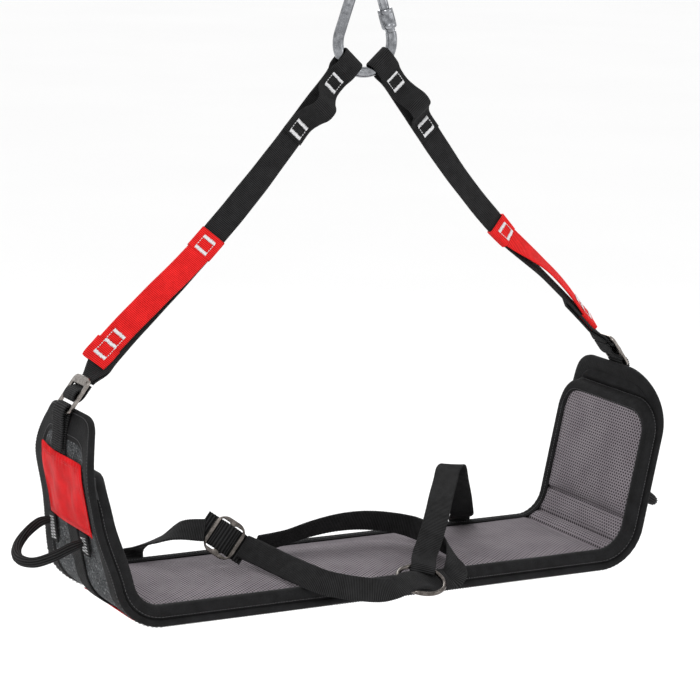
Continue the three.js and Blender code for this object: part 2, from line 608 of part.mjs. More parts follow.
function retainingStrap() {
  const rear = [
    { at: [-205, 90.5, -594], across: [1, 0, 0] },
    { at: [-203, 92.5, -580], across: [1, -0.1, 0] },
    { at: [-197, 82, -571], across: [0.9, 0.4, 0] },
    { at: [-187, 66, -562], across: [0.8, 0.6, 0.1] },
    { at: [-172, 46, -549], across: [0.6, 0.5, 0.6] },
    { at: [-152, 30, -547], across: [0.6, 0.3, 0.75] }];
  add('retainer_rear_web', ribbon(routeFrames(rear, 24)), BLACK_WEB);

  const front = [
    { at: [-118, 12, -563], across: [0.6, 0.0, 0.8] },
    { at: [-110, -18, -566], across: [0.6, 0.05, 0.75] },
    { at: [-103, -45, -569], across: [0.58, 0.1, 0.75] },
    { at: [-96, -75, -571], across: [0.5, 0.25, 0.78] },
    { at: [-85, -97, -574.5], across: [0.4, 0.35, 0.82] },
    { at: [-68, -108, -578.5], across: [0.3, 0.4, 0.85] },
    { at: [-46, -114, -584], across: [0.15, 0.5, 0.85] },
    { at: [-29, -117, -585], across: [0, 0.6, 0.8] },
    ...[[-36, 5.5], [-25, 6.4], [-17, 6.2], [0, 0], [17, -6.2], [25, -6.4], [33, -6]].map(throughRing)];
  add('retainer_front_web', ribbon(routeFrames(front, 60)), BLACK_WEB);

  const back = [
    throughRing([34.6, -6]), throughRing([39, -6]),
    { at: [67, -95, -581.5], across: [-0.35, 0.72, 0.6] },
    { at: [75, -79, -571.5], across: [-0.5, 0.45, 0.72] },
    { at: [80, -62, -569.5], across: [-0.45, 0.2, 0.85] },
    { at: [83, -42, -568], across: [-0.3, 0, 0.93] },
    { at: [83, -16, -565], across: [-0.1, -0.15, 0.98] },
    { at: [77, 10, -563], across: [0.1, -0.3, 0.95] },
    { at: [62, 24, -560], across: [0.05, -0.4, 0.9] },
    { at: [40, 33, -557.5], across: [0.05, -0.4, 0.9] },
    { at: [8, 38, -557], across: [0, -0.45, 0.9] },
    { at: [-30, 38, -561], across: [0, -0.5, 0.85] },
    { at: [-62, 34, -566], across: [0.1, -0.5, 0.8] },
    { at: [-100, 22, -566], across: [0.4, -0.3, 0.8] }];
  add('retainer_back_web', ribbon(routeFrames(back, 60)), BLACK_WEB);

  const cross = [
    ...ringTurn(point(0, 1, 0)).reverse().map(facing([1, 0, 0])),
    { at: [30, -72, -567], across: [1, -0.2, 0] },
    { at: [46, -69, -559], across: [1, -0.35, 0] },
    { at: [62, -58, -551], across: [0.95, -0.5, 0] },
    { at: [84, -32, -532], across: [0.9, -0.6, 0] },
    { at: [103, -9, -516], across: [0.9, -0.6, 0] },
    { at: [115, 5, -504], across: [0.9, -0.6, 0] },
    { at: [126, 14, -503], across: [0.9, -0.6, 0] },
    { at: [135, 21, -522], across: [0.9, -0.6, 0] },
    { at: [147, 33, -546], across: [0.95, -0.5, 0] },
    { at: [159, 49, -565], across: [0.95, -0.4, 0] },
    { at: [173, 74, -576], across: [1, -0.2, 0] },
    { at: [182, 91.5, -585], across: [1, 0, 0] },
    { at: [183, 91.5, -598], across: [1, 0, 0] }];
  add('cross_web', ribbon(routeFrames(cross, 60)), BLACK_WEB);

  const ring = new THREE.TorusGeometry(RING.radius, RING.wire, 10, 40);
  ring.applyQuaternion(new THREE.Quaternion().setFromUnitVectors(point(0, 0, 1), RING_UP));
  ring.translate(...RING.at.toArray());
  add('retainer_ring', ring, STEEL);

  add('retainer_slider', sliderGeometry(), GUNMETAL);
}

// The retaining strap's three-bar slider, standing in the strap's run.
function sliderGeometry() {
  const [length, width, thick, rim] = [34, 41, 2.6, 4.5];
  const plate = new THREE.Shape();
  const rounded = (shape, x, y, r) => {
    shape.moveTo(-x + r, -y);
    shape.absarc(x - r, -y + r, r, -Math.PI / 2, 0);
    shape.absarc(x - r, y - r, r, 0, Math.PI / 2);
    shape.absarc(-x + r, y - r, r, Math.PI / 2, Math.PI);
    shape.absarc(-x + r, -y + r, r, Math.PI, 1.5 * Math.PI);
    return shape;
  };
  rounded(plate, width / 2, length / 2, 9);
  for (const side of [-1, 1]) {
    const slot = new THREE.Path();
    const [low, high] = side > 0 ? [2.6, length / 2 - rim] : [-length / 2 + rim, -2.6];
    const reach = width / 2 - rim;
    slot.moveTo(-reach, low);
    slot.lineTo(-reach, high);
    slot.lineTo(reach, high);
    slot.lineTo(reach, low);
    slot.closePath();
    plate.holes.push(slot);
  }
  const geometry = new THREE.ExtrudeGeometry(plate, { depth: thick, bevelEnabled: false, curveSegments: 5 });
  geometry.translate(0, 0, -thick / 2);
  const across = point(0.6, 0.0, 0.8);
  const along = point(0.64, -0.45, -0.48).normalize();
  const face = across.clone().cross(along).normalize();
  const square = face.clone().cross(across).normalize();
  geometry.applyMatrix4(new THREE.Matrix4().makeBasis(across.normalize(), square, face)
    .setPosition(-134, 22, -555));
  return geometry;
}

padAndShell();
for (const [side, sign] of [['left', -1], ['right', 1]]) {
  wingHardware(side, sign);
  hangingStrap(side, sign);
  gearLoop(side, sign);
}
carabiner();
retainingStrap();

export default seat;
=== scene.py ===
"""Looks for the suspended work seat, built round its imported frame.

Lengths in the shape code are millimetres in the frame's own axes: +Z up, +X along the seat,
-Y at the sitter's front edge. They become metres when a mesh is made.
"""
import math

import bmesh
import bpy
import numpy as np
from mathutils import Matrix, Vector


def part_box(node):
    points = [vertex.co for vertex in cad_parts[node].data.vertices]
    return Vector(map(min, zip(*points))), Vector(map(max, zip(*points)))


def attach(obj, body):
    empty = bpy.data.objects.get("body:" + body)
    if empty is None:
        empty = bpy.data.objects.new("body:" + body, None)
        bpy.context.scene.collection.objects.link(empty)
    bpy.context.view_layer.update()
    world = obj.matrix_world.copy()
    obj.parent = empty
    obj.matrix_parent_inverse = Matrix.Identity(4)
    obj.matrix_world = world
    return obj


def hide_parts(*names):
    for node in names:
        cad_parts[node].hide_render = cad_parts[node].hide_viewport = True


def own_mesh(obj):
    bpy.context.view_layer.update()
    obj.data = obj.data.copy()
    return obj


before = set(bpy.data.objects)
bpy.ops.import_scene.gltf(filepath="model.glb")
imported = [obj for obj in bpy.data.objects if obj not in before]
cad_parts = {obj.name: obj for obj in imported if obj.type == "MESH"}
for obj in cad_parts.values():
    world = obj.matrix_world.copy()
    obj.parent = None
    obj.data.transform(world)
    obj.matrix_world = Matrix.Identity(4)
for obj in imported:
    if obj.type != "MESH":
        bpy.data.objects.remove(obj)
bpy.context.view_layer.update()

MM = 0.001
SIDES = (("left", -1), ("right", 1))
random = np.random.default_rng(7)

# ------------------------------------------------------------------ driving dimensions
WEB_WIDTH = 25.0
WEB_THICK = 2.0
RIB = {"pitch": 1.7, "samples": 4, "height": 0.16, "edge": 0.22}

COVER_THICK = 1.2
SEAT_TOP_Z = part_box("pad_mesh_cover")[0].z / MM + COVER_THICK
FLAT_HALF = 249.0
BEND_RADIUS = 32.0
WING_ANGLE = math.radians(78.7)
WING_STRAIGHT = 100.4
CURL_RADIUS = 80.0
WING_START = FLAT_HALF + BEND_RADIUS * WING_ANGLE
CURL_START = WING_START + WING_STRAIGHT
FOLDS = (257.8, 272.8, 297.8)
PAD = {"length": 410.0, "half": 85.0, "corner": 34.0, "shift": 11.0}
SHELL = {"length": 446.0, "half": 88.0, "corner": 56.0, "shift": 0.0}

BAR_R = 5.5
BASKET_R = 30.0
CROWN_R = 14.0
CROWN_RISE = 51.0
BASKET_Z = -(CROWN_RISE + CROWN_R - BAR_R)

BUCKLE_TOP = np.array([-296.0, 0.0, -373.0])
BUCKLE = {"length": 40.0, "width": 39.0, "thick": 3.0, "slope": math.radians(54)}
BUCKLE_BARS = (0.0, 9.0, 17.5, 22.5, 33.5, 40.0)
STRAP_BOW = {"left": 7.0, "right": 13.0}
SEAM = 118.0
HEAD = {"back": 1.3, "closed": 46.0, "ply": 2.6, "slack": (60.0, 103.0), "bulge": 21.0, "end": 121.0}
KEEPER = {"from": 246.0, "to": 414.0, "width": 24.6, "thick": 2.2, "low": 2.8, "rise": 5.5, "flat": 0.12,
          "aside": 6.0}
TAIL = {"length": 66.0, "gap": 3.6}
GAP = 0.4


# ------------------------------------------------------------------ small vector helpers
def unit(v):
    v = np.asarray(v, float)
    return v / np.linalg.norm(v, axis=-1, keepdims=True)


def smooth(share):
    share = np.clip(share, 0, 1)
    return share * share * (3 - 2 * share)


def mirrored(frames, sign):
    """Frames made on the left, for that side of the seat."""
    flip = np.array([1.0 if sign < 0 else -1.0, 1.0, 1.0])
    return tuple(part * flip for part in frames)


def even(frames, spacing):
    """Frames at even steps along the line that they follow."""
    places = frames[0]
    along = np.concatenate([[0], np.cumsum(np.linalg.norm(np.diff(places, axis=0), axis=1))])
    count = max(int(round(along[-1] / spacing)), 2)
    marks = np.linspace(0, along[-1], count + 1)
    made = [np.stack([np.interp(marks, along, part[:, k]) for k in range(3)], 1) for part in frames]
    return made[0], unit(made[1]), unit(made[2])


def catmull(points, count=24):
    """A centripetal Catmull-Rom line through given points."""
    points = np.asarray(points, float)
    ends = np.vstack([2 * points[0] - points[1], points, 2 * points[-1] - points[-2]])
    line = []
    for i in range(len(points) - 1):
        p = ends[i:i + 4]
        gaps = np.linalg.norm(np.diff(p, axis=0), axis=1) ** 0.5
        t = np.concatenate([[0], np.cumsum(np.maximum(gaps, 1e-6))])
        for u in np.linspace(t[1], t[2], count, endpoint=i == len(points) - 2):
            a = [((t[k + 1] - u) * p[k] + (u - t[k]) * p[k + 1]) / (t[k + 1] - t[k]) for k in range(3)]
            b = [((t[k + 2] - u) * a[k] + (u - t[k]) * a[k + 1]) / (t[k + 2] - t[k]) for k in range(2)]
            line.append(((t[2] - u) * b[0] + (u - t[1]) * b[1]) / (t[2] - t[1]))
    return np.array(line)


def route_frames(route):
    """Frames of a strip through (point, direction across) places."""
    line = catmull([at for at, _ in route])
    across = unit([way for _, way in route])
    place = np.linspace(0, len(route) - 1, len(line))
    across = np.stack([np.interp(place, np.arange(len(route)), across[:, k]) for k in range(3)], 1)
    along = unit(np.gradient(line, axis=0))
    normal = unit(np.cross(along, across))
    return line, unit(np.cross(normal, along)), normal


def flat_frames(points):
    """Frames of a strip that keeps its width along Y."""
    line = catmull(points)
    along = unit(np.gradient(line, axis=0))
    across = np.tile([0.0, 1.0, 0.0], (len(line), 1))
    return line, across, unit(np.cross(along, across) * -1)


def settled(points):
    """The left wing hangs a little twisted, its far edge turned in and its near edge out."""
    points = np.array(points, float)
    x, y, z = points[..., 0], points[..., 1], points[..., 2]
    risen = smooth((z - SEAT_TOP_Z - 15) / 75) * smooth((-x - 265) / 30) * smooth((-390 - z) / 30)
    far = (6.5 + 5.0 * smooth((z + 475) / 55)) * smooth((y - 8) / 75)
    near = (9.0 - 3.5 * smooth((z + 475) / 55)) * smooth((-y - 45) / 40)
    points[..., 0] = x + risen * (far - near)
    return points


# ------------------------------------------------------------------ meshes
def build(name, points, faces, uv=None, sharp=50):
    """A mesh from points in millimetres. uv is each point's place on its cloth, in millimetres."""
    mesh = bpy.data.meshes.new(name)
    mesh.from_pydata((settled(points).reshape(-1, 3) * MM).tolist(), [], faces)
    if uv is not None:
        layer = mesh.uv_layers.new(name="cloth")
        corners = np.empty(len(mesh.loops), int)
        mesh.loops.foreach_get("vertex_index", corners)
        layer.data.foreach_set("uv", np.asarray(uv, float).reshape(-1, 2)[corners].ravel())
    made = bmesh.new()
    made.from_mesh(mesh)
    bmesh.ops.recalc_face_normals(made, faces=made.faces)
    made.to_mesh(mesh)
    made.free()
    mesh.shade_smooth()
    mesh.set_sharp_from_angle(angle=math.radians(sharp))
    piece = bpy.data.objects.new(name, mesh)
    bpy.context.scene.collection.objects.link(piece)
    return piece


def grid_faces(rows, columns, wrap_rows=False, wrap_columns=True, offset=0):
    """Quads between neighbouring rows of points."""
    faces = []
    for i in range(rows if wrap_rows else rows - 1):
        for j in range(columns if wrap_columns else columns - 1):
            a, b = i * columns, (i + 1) % rows * columns
            k = (j + 1) % columns
            faces.append((offset + a + j, offset + a + k, offset + b + k, offset + b + j))
    return faces


def loft(name, rings, uv=None, closed=False, sharp=50):
    """Joins rings of points into a tube, with flat ends unless it closes on itself."""
    rows, columns = rings.shape[:2]
    faces = grid_faces(rows, columns, wrap_rows=closed)
    if not closed:
        last = (rows - 1) * columns
        faces += [tuple(range(columns)), tuple(range(last, last + columns))]
    return build(name, rings, faces, uv, sharp)


def closed_grid(name, upper, lower, uv, sharp=50):
    """Joins two grids of the same shape round their rim into one closed mesh."""
    rows, columns = upper.shape[:2]
    count = rows * columns
    faces = grid_faces(rows, columns, wrap_columns=False)
    faces += grid_faces(rows, columns, wrap_columns=False, offset=count)
    rim = rim_of(rows, columns)
    for a, b in zip(rim, rim[1:] + rim[:1]):
        faces.append((a, b, count + b, count + a))
    return build(name, np.concatenate([upper.reshape(-1, 3), lower.reshape(-1, 3)]), faces,
                 np.concatenate([uv.reshape(-1, 2)] * 2), sharp)


def rim_of(rows, columns):
    """The numbers of a grid's outer points, in order round it."""
    rim = [j for j in range(columns)]
    rim += [i * columns + columns - 1 for i in range(1, rows)]
    rim += [(rows - 1) * columns + j for j in range(columns - 2, -1, -1)]
    rim += [i * columns for i in range(rows - 2, 0, -1)]
    return rim


def finished(piece, body, look, slot, *nodes):
    """Gives a piece its material and body, and hides the CAD nodes it stands for. Its slot is not used."""
    piece.data.materials.clear()
    piece.data.materials.append(look)
    if nodes:
        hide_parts(*nodes)
    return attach(piece, body)


def joined(name, pieces):
    """One mesh made of several, which are removed."""
    made = bmesh.new()
    for piece in pieces:
        made.from_mesh(piece.data)
        bpy.data.objects.remove(piece)
    mesh = bpy.data.meshes.new(name)
    made.to_mesh(mesh)
    made.free()
    whole = bpy.data.objects.new(name, mesh)
    bpy.context.scene.collection.objects.link(whole)
    return whole


# ------------------------------------------------------------------ node materials
class Look:
    """One procedural material. Each method adds a node and returns its output socket."""

    def __init__(self, name, rough, metal=0.0, sheen=0.0, specular=0.35):
        self.material = bpy.data.materials.new(name)
        self.material.use_nodes = True
        self.tree = self.material.node_tree
        self.shader = self.tree.nodes["Principled BSDF"]
        self.shader.inputs["Roughness"].default_value = rough
        self.shader.inputs["Metallic"].default_value = metal
        self.shader.inputs["Specular IOR Level"].default_value = specular
        self.shader.inputs["Sheen Weight"].default_value = sheen
        self.shader.inputs["Sheen Roughness"].default_value = 0.5

    def node(self, kind, inputs=None, output=0, **settings):
        made = self.tree.nodes.new("ShaderNode" + kind)
        for key, value in settings.items():
            setattr(made, key, value)
        for key, value in (inputs or {}).items():
            self.feed(made.inputs[key], value)
        return made.outputs[output]

    def feed(self, socket, value):
        if isinstance(value, bpy.types.NodeSocket):
            self.tree.links.new(value, socket)
        else:
            socket.default_value = value

    def maths(self, operation, a, b=0.0):
        return self.node("Math", {0: a, 1: b}, operation=operation)

    def cloth_place(self):
        """The point's place along and across its cloth, in millimetres."""
        place = self.node("UVMap", uv_map="cloth")
        split = self.tree.nodes.new("ShaderNodeSeparateXYZ")
        self.tree.links.new(place, split.inputs[0])
        return split.outputs[0], split.outputs[1]

    def noise(self, feature_mm, detail=3.0, stretch=None):
        place = self.node("TexCoord", output="Object")
        if stretch:
            place = self.node("Mapping", {"Vector": place, "Scale": stretch})
        return self.node("TexNoise", {"Vector": place, "Scale": 1 / (feature_mm * MM), "Detail": detail})

    def between(self, value, low, high):
        """0 below low, 1 above high, smooth between."""
        return self.node("MapRange", {"Value": value, "From Min": low, "From Max": high},
                         interpolation_type="SMOOTHSTEP")

    def mix(self, share, a, b):
        made = self.tree.nodes.new("ShaderNodeMix")
        made.data_type = "RGBA"
        self.feed(made.inputs[0], share)
        self.feed(made.inputs[6], a)
        self.feed(made.inputs[7], b)
        return made.outputs[2]

    def total(self, *parts):
        """The sum of (value, weight) pairs."""
        terms = [self.maths("MULTIPLY", value, weight) for value, weight in parts]
        whole = terms[0]
        for term in terms[1:]:
            whole = self.maths("ADD", whole, term)
        return whole

    def wave(self, place, pitch):
        """A cosine along a place in millimetres, from -1 to 1."""
        return self.maths("COSINE", self.maths("MULTIPLY", place, 2 * math.pi / pitch))

    def colour(self, value):
        self.feed(self.shader.inputs["Base Color"], value)

    def rough(self, value):
        self.feed(self.shader.inputs["Roughness"], value)

    def bump(self, height, distance_mm, strength=1.0):
        normal = self.node("Bump", {"Height": height, "Distance": distance_mm * MM, "Strength": strength})
        self.tree.links.new(normal, self.shader.inputs["Normal"])


def rgb(red, green, blue):
    return (red, green, blue, 1.0)


def webbing_look(name, deep, light, sheen):
    """Woven webbing: clear weft ribs across it, crossed by fine warp threads, with a little dust. The ribs
    and threads are painted lighter on their crests and darker in their grooves: painted highlight and
    painted shade.
    """
    look = Look(name, 0.7, sheen=sheen, specular=0.12)
    along, across = look.cloth_place()
    weft = look.wave(along, RIB["pitch"])
    warp = look.wave(look.total((across, 1.0), (weft, 0.2)), 0.8)
    cloudy = look.maths("SUBTRACT", look.noise(9.0, 4.0), 0.5)
    fine = look.noise(0.5, 2.0)
    grain = look.maths("SUBTRACT", fine, 0.5)
    # weft and warp in the colour are painted highlight on the crests and painted shade in the grooves;
    # cloudy and grain are dust and random tone
    tone = look.total((weft, 0.55), (warp, 0.16), (cloudy, 0.9), (grain, 0.9))
    look.colour(look.mix(look.between(tone, -0.75, 1.0), deep, light))
    look.rough(look.node("MapRange", {"Value": fine, "To Min": 0.6, "To Max": 0.85}))
    look.bump(look.total((weft, 0.5), (warp, 0.2), (fine, 0.8)), 0.3, 0.9)
    return look.material


def tape_look():
    """Grosgrain binding tape: fine close ribs across it."""
    look = Look("binding_tape", 0.8, sheen=0.02, specular=0.1)
    along, _ = look.cloth_place()
    rib = look.wave(along, 1.1)
    fine = look.noise(0.7, 3.0)
    cloudy = look.noise(14.0, 3.0)
    tone = look.total((fine, 0.7), (cloudy, 0.5))
    look.colour(look.mix(look.between(tone, 0.35, 0.85), rgb(0.004, 0.004, 0.004),
                         rgb(0.015, 0.015, 0.016)))
    look.bump(look.total((rib, 0.5), (fine, 1.0)), 0.2, 0.7)
    return look.material


def mesh_look():
    """Spacer mesh: staggered rows of small holes in a soft grey knit, each hole painted near-black as
    painted shade inside it.
    """
    look = Look("spacer_mesh", 0.85, sheen=0.05, specular=0.1)
    along, across = look.cloth_place()
    row_pitch, hole_pitch = 2.9, 4.0
    row = look.maths("FLOOR", look.maths("DIVIDE", along, row_pitch))
    shift = look.maths("MULTIPLY", look.maths("FLOORED_MODULO", row, 2.0), hole_pitch / 2)
    side = look.maths("FLOORED_MODULO", look.maths("ADD", across, shift), hole_pitch)
    side = look.maths("DIVIDE", look.maths("SUBTRACT", side, hole_pitch / 2), 1.3)
    up = look.maths("FLOORED_MODULO", along, row_pitch)
    up = look.maths("DIVIDE", look.maths("SUBTRACT", up, row_pitch / 2), 1.0)
    squared = look.maths("ADD", look.maths("POWER", side, 2.0), look.maths("POWER", up, 2.0))
    solid = look.between(look.maths("SQRT", squared), 0.55, 1.25)
    knit = look.noise(0.45, 2.0)
    cloudy = look.noise(35.0, 3.0)
    grey = look.mix(look.between(cloudy, 0.3, 0.7), rgb(0.200, 0.178, 0.196), rgb(0.250, 0.226, 0.244))
    shade = look.maths("MULTIPLY", look.between(knit, 0.35, 0.65), 0.35)
    grey = look.mix(shade, grey, rgb(0.16, 0.135, 0.15))
    # the holes get near-black colour: painted shade inside each hole, which is only a dent in the bump
    look.colour(look.mix(solid, rgb(0.012, 0.009, 0.011), grey))
    look.bump(look.total((solid, 1.0), (knit, 0.25)), 0.7, 0.8)
    return look.material


def felt_look():
    """Flecked grey cloth of mixed light and dark fibres."""
    look = Look("flecked_felt", 0.95, sheen=0.02, specular=0.06)
    fibre = look.noise(1.1, 6.0)
    fleck = look.noise(2.6, 5.0)
    cloudy = look.noise(20.0, 2.0)
    tone = look.total((fibre, 0.8), (cloudy, 0.2))
    grey = look.mix(look.between(tone, 0.38, 0.64), rgb(0.012, 0.013, 0.014), rgb(0.105, 0.110, 0.114))
    look.colour(look.mix(look.between(fleck, 0.57, 0.66), grey, rgb(0.20, 0.205, 0.21)))
    look.bump(fibre, 0.6, 0.9)
    return look.material


def red_cloth_look():
    """Plain-woven coated pack cloth."""
    look = Look("red_pack_cloth", 0.55, sheen=0.0, specular=0.08)
    along, across = look.cloth_place()
    weave = look.maths("MULTIPLY", look.wave(along, 0.9), look.wave(across, 0.9))
    cloudy = look.noise(18.0, 4.0)
    fine = look.noise(0.6, 2.0)
    tone = look.total((cloudy, 0.7), (fine, 0.4))
    look.colour(look.mix(look.between(tone, 0.3, 0.8), rgb(0.44, 0.004, 0.006), rgb(0.70, 0.010, 0.014)))
    look.bump(look.total((weave, 0.4), (fine, 1.0)), 0.15, 0.6)
    return look.material


def thread_look(name, dark, light):
    """Twisted sewing thread."""
    look = Look(name, 0.6, sheen=0.2)
    twist = look.noise(0.35, 2.0)
    look.colour(look.mix(look.between(twist, 0.35, 0.65), dark, light))
    look.bump(twist, 0.15, 0.6)
    return look.material


def metal_look(name, dark, light, low, high, scratch):
    """Metal with fine scratches along it and a cloudy finish."""
    look = Look(name, low, metal=1.0, specular=0.5)
    line = look.noise(0.4, 3.0, stretch=(1.0, 0.12, 0.35))
    cloudy = look.noise(6.0, 4.0)
    tone = look.total((line, 0.5), (cloudy, 0.6))
    share = look.between(tone, 0.35, 0.75)
    look.colour(look.mix(share, dark, light))
    look.rough(look.node("MapRange", {"Value": tone, "From Min": 0.3, "From Max": 0.8,
                                      "To Min": low, "To Max": high}))
    look.bump(line, 0.03, scratch)
    return look.material


def plain_look(name, dark, light, rough, feature):
    """Moulded sheet: an even grain."""
    look = Look(name, rough)
    grain = look.noise(feature, 4.0)
    look.colour(look.mix(look.between(grain, 0.3, 0.7), dark, light))
    look.bump(grain, 0.3, 0.5)
    return look.material


BLACK_WEB = webbing_look("black_webbing_weave", rgb(0.001, 0.001, 0.001), rgb(0.030, 0.030, 0.031), 0.02)
RED_WEB = webbing_look("red_webbing_weave", rgb(0.38, 0.003, 0.003), rgb(0.97, 0.026, 0.026), 0.02)
TAPE = tape_look()
MESH_CLOTH = mesh_look()
FELT = felt_look()
RED_CLOTH = red_cloth_look()
WHITE_THREAD = thread_look("white_thread", rgb(0.45, 0.45, 0.46), rgb(0.82, 0.82, 0.83))
DARK_THREAD = thread_look("dark_thread", rgb(0.02, 0.02, 0.021), rgb(0.09, 0.09, 0.095))
RED_THREAD = thread_look("red_thread", rgb(0.42, 0.01, 0.012), rgb(0.66, 0.02, 0.025))
STEEL = metal_look("polished_steel_finish", rgb(0.13, 0.135, 0.145), rgb(0.36, 0.37, 0.39), 0.08, 0.22, 0.3)
GUNMETAL = metal_look("gunmetal_finish", rgb(0.15, 0.135, 0.125), rgb(0.36, 0.33, 0.305), 0.16, 0.34, 0.5)
DARK_METAL = metal_look("dark_gunmetal_finish", rgb(0.05, 0.044, 0.04), rgb(0.17, 0.152, 0.14),
                        0.16, 0.32, 0.5)
BOARD = plain_look("board_grain", rgb(0.012, 0.012, 0.013), rgb(0.025, 0.025, 0.027), 0.6, 2.0)


# ------------------------------------------------------------------ webbing
def web_section(width, thick):
    """Corners round a webbing's section, as (across, up), with a firmer edge."""
    half, up = width / 2, thick / 2
    top = [(-half + 0.35, 0.62), (-half + 1.3, 1.06), (-half + 3.0, 0.96), (-half / 3, 1.0),
           (half / 3, 1.0), (half - 3.0, 0.96), (half - 1.3, 1.06), (half - 0.35, 0.62)]
    ring = [(a, up * b) for a, b in top] + [(half, 0.0)]
    ring += [(a, -up * b) for a, b in reversed(top)] + [(-half, 0.0)]
    return np.array(ring)


def webbing(name, frames, width=WEB_WIDTH, thick=WEB_THICK, height=RIB["height"], pitch=RIB["pitch"]):
    """A strip of webbing along its frames, with its weft ribs as real shape."""
    spacing = pitch / RIB["samples"]
    line, across, normal = even(frames, spacing)
    section = web_section(width, thick)
    along = np.arange(len(line)) * RIB["pitch"] / RIB["samples"]
    rib = np.cos(along * 2 * math.pi / RIB["pitch"])
    wobble = 0.12 * np.sin(along / 23.0) + 0.08 * np.sin(along / 7.0)
    side = section[None, :, 0] + np.sign(section[None, :, 0]) * (
        np.abs(section[None, :, 0]) > width / 2 - 1) * rib[:, None] * RIB["edge"] + wobble[:, None]
    up = section[None, :, 1] + np.sign(section[None, :, 1]) * rib[:, None] * height
    rings = line[:, None] + across[:, None] * side[..., None] + normal[:, None] * up[..., None]
    uv = np.stack(np.broadcast_arrays(along[:, None], section[None, :, 0]), -1)
    return loft(name, rings, uv, sharp=75)


# ------------------------------------------------------------------ stitching
STITCH_SHARE = 0.72         # of its pitch that each thread covers
SATIN_WIDTH = 3.6
EDGE_PITCH = 3.0


def stitches(name, runs, radius=0.3, lift=0.25):
    """Threads as one mesh. runs holds (starts, ends, normals), each thread a little arch."""
    starts, ends, normals = (np.concatenate(part) for part in zip(*runs))
    along = unit(ends - starts)
    side = unit(np.cross(normals, along))
    share = np.array([0.0, 0.22, 0.5, 0.78, 1.0])
    swell = 0.45 + 0.55 * np.sin(math.pi * share)
    sides = 6
    turn = np.arange(sides) * 2 * math.pi / sides
    centre = starts[:, None] + (ends - starts)[:, None] * share[None, :, None]
    centre = centre + normals[:, None] * (lift * np.sin(math.pi * share))[None, :, None]
    ring = side[:, None] * np.cos(turn)[None, :, None] + normals[:, None] * np.sin(turn)[None, :, None]
    points = centre[:, :, None] + ring[:, None] * (radius * swell)[None, :, None, None]
    faces = []
    each = len(share) * sides
    for i in range(len(starts)):
        faces += grid_faces(len(share), sides, offset=i * each)
        faces += [tuple(range(i * each, i * each + sides)),
                  tuple(range(i * each + each - sides, i * each + each))]
    return build(name, points, faces, sharp=80)


def sewn(name, runs, look, slot, radius, lift, body="seat"):
    finished(stitches(name, runs, radius, lift), body, look, slot)


def on_strip(frames, up):
    """A function that gives the point and normal at (distance, across) on a strip's face."""
    line, across, normal = frames
    along = np.concatenate([[0], np.cumsum(np.linalg.norm(np.diff(line, axis=0), axis=1))])

    def at(distance, side):
        distance = np.asarray(distance, float)
        middle, wide, face = (
            np.stack([np.interp(distance, along, part[:, k]) for k in range(3)], -1)
            for part in (line, across, normal))
        way = 1 if up > 0 else -1
        return middle + wide * np.asarray(side, float)[..., None] + face * up, face * way
    return at


def satin_bar(at, distance, centre, length, width):
    """A close bar of stitches lying across a strip."""
    side = centre + np.linspace(-length / 2, length / 2, int(length / 0.55))
    ragged = random.uniform(-0.35, 0.35, len(side))
    start, face = at(distance - width / 2 + ragged, side)
    end, _ = at(distance + width / 2 + ragged, side + 0.35)
    return start, end, face


def stitch_line(at, start, end, pitch=2.6):
    """Single stitches from one (distance, across) place to another."""
    start, end = np.array(start, float), np.array(end, float)
    count = max(int(np.linalg.norm(end - start) / pitch), 1)
    first = start + (end - start) * (np.arange(count) / count)[:, None]
    last = first + (end - start) / count * STITCH_SHARE
    a, face = at(first[:, 0], first[:, 1])
    b, _ = at(last[:, 0], last[:, 1])
    return a, b, face


def box_tack(at, low, high, half, bars=(0.0, 1.0)):
    """A sewn box: close bars across the strip joined by two single rows."""
    runs = [satin_bar(at, low + (high - low) * share, 0.0, 2 * half, SATIN_WIDTH) for share in bars]
    runs += [stitch_line(at, (low, side), (high, side)) for side in (-half, half)]
    return runs


# ------------------------------------------------------------------ the seat's curved surface
def surface_at(s, y, n):
    """s runs from the seat's middle up each wing, y across it, and n is the depth below it."""
    s, y, n = np.broadcast_arrays(*(np.asarray(v, float) for v in (s, y, n)))
    run = np.abs(s)
    bend = np.clip((run - FLAT_HALF) / BEND_RADIUS, 0, WING_ANGLE)
    up = np.clip(run - WING_START, 0, WING_STRAIGHT)
    curl = np.maximum(run - CURL_START, 0) / CURL_RADIUS
    angle = bend + curl
    x = np.minimum(run, FLAT_HALF) + BEND_RADIUS * np.sin(bend) + up * math.cos(WING_ANGLE)
    x = x + CURL_RADIUS * (np.sin(WING_ANGLE + curl) - math.sin(WING_ANGLE)) + n * np.sin(angle)
    z = BEND_RADIUS * (1 - np.cos(bend)) + up * math.sin(WING_ANGLE)
    z = z + CURL_RADIUS * (math.cos(WING_ANGLE) - np.cos(WING_ANGLE + curl)) - n * np.cos(angle)
    return np.stack([np.where(s < 0, -x, x), y, SEAT_TOP_Z + z], -1)


def surface_normal(s):
    """The direction out of the seat's underside and the wings' outsides."""
    run = np.abs(s)
    angle = np.clip((run - FLAT_HALF) / BEND_RADIUS, 0, WING_ANGLE)
    angle = angle + np.maximum(run - CURL_START, 0) / CURL_RADIUS
    return np.stack([np.sign(s) * np.sin(angle), np.zeros_like(angle), -np.cos(angle)], -1)


def outline_half(s, outline, inset=0.0):
    """Half the depth of an outline with rounded ends."""
    radius = outline["corner"] - inset
    into = np.clip(np.abs(s - outline["shift"]) - (outline["length"] - outline["corner"]), 0, radius)
    return outline["half"] - outline["corner"] + np.sqrt(radius ** 2 - into ** 2)


def marks(start, stop, step, extra=()):
    """Even places from start to stop, with extra ones put in."""
    places = list(np.linspace(start, stop, int(abs(stop - start) / step) + 1))
    places += [s for s in extra if start < s < stop]
    return np.array(sorted(set(np.round(places, 3))))


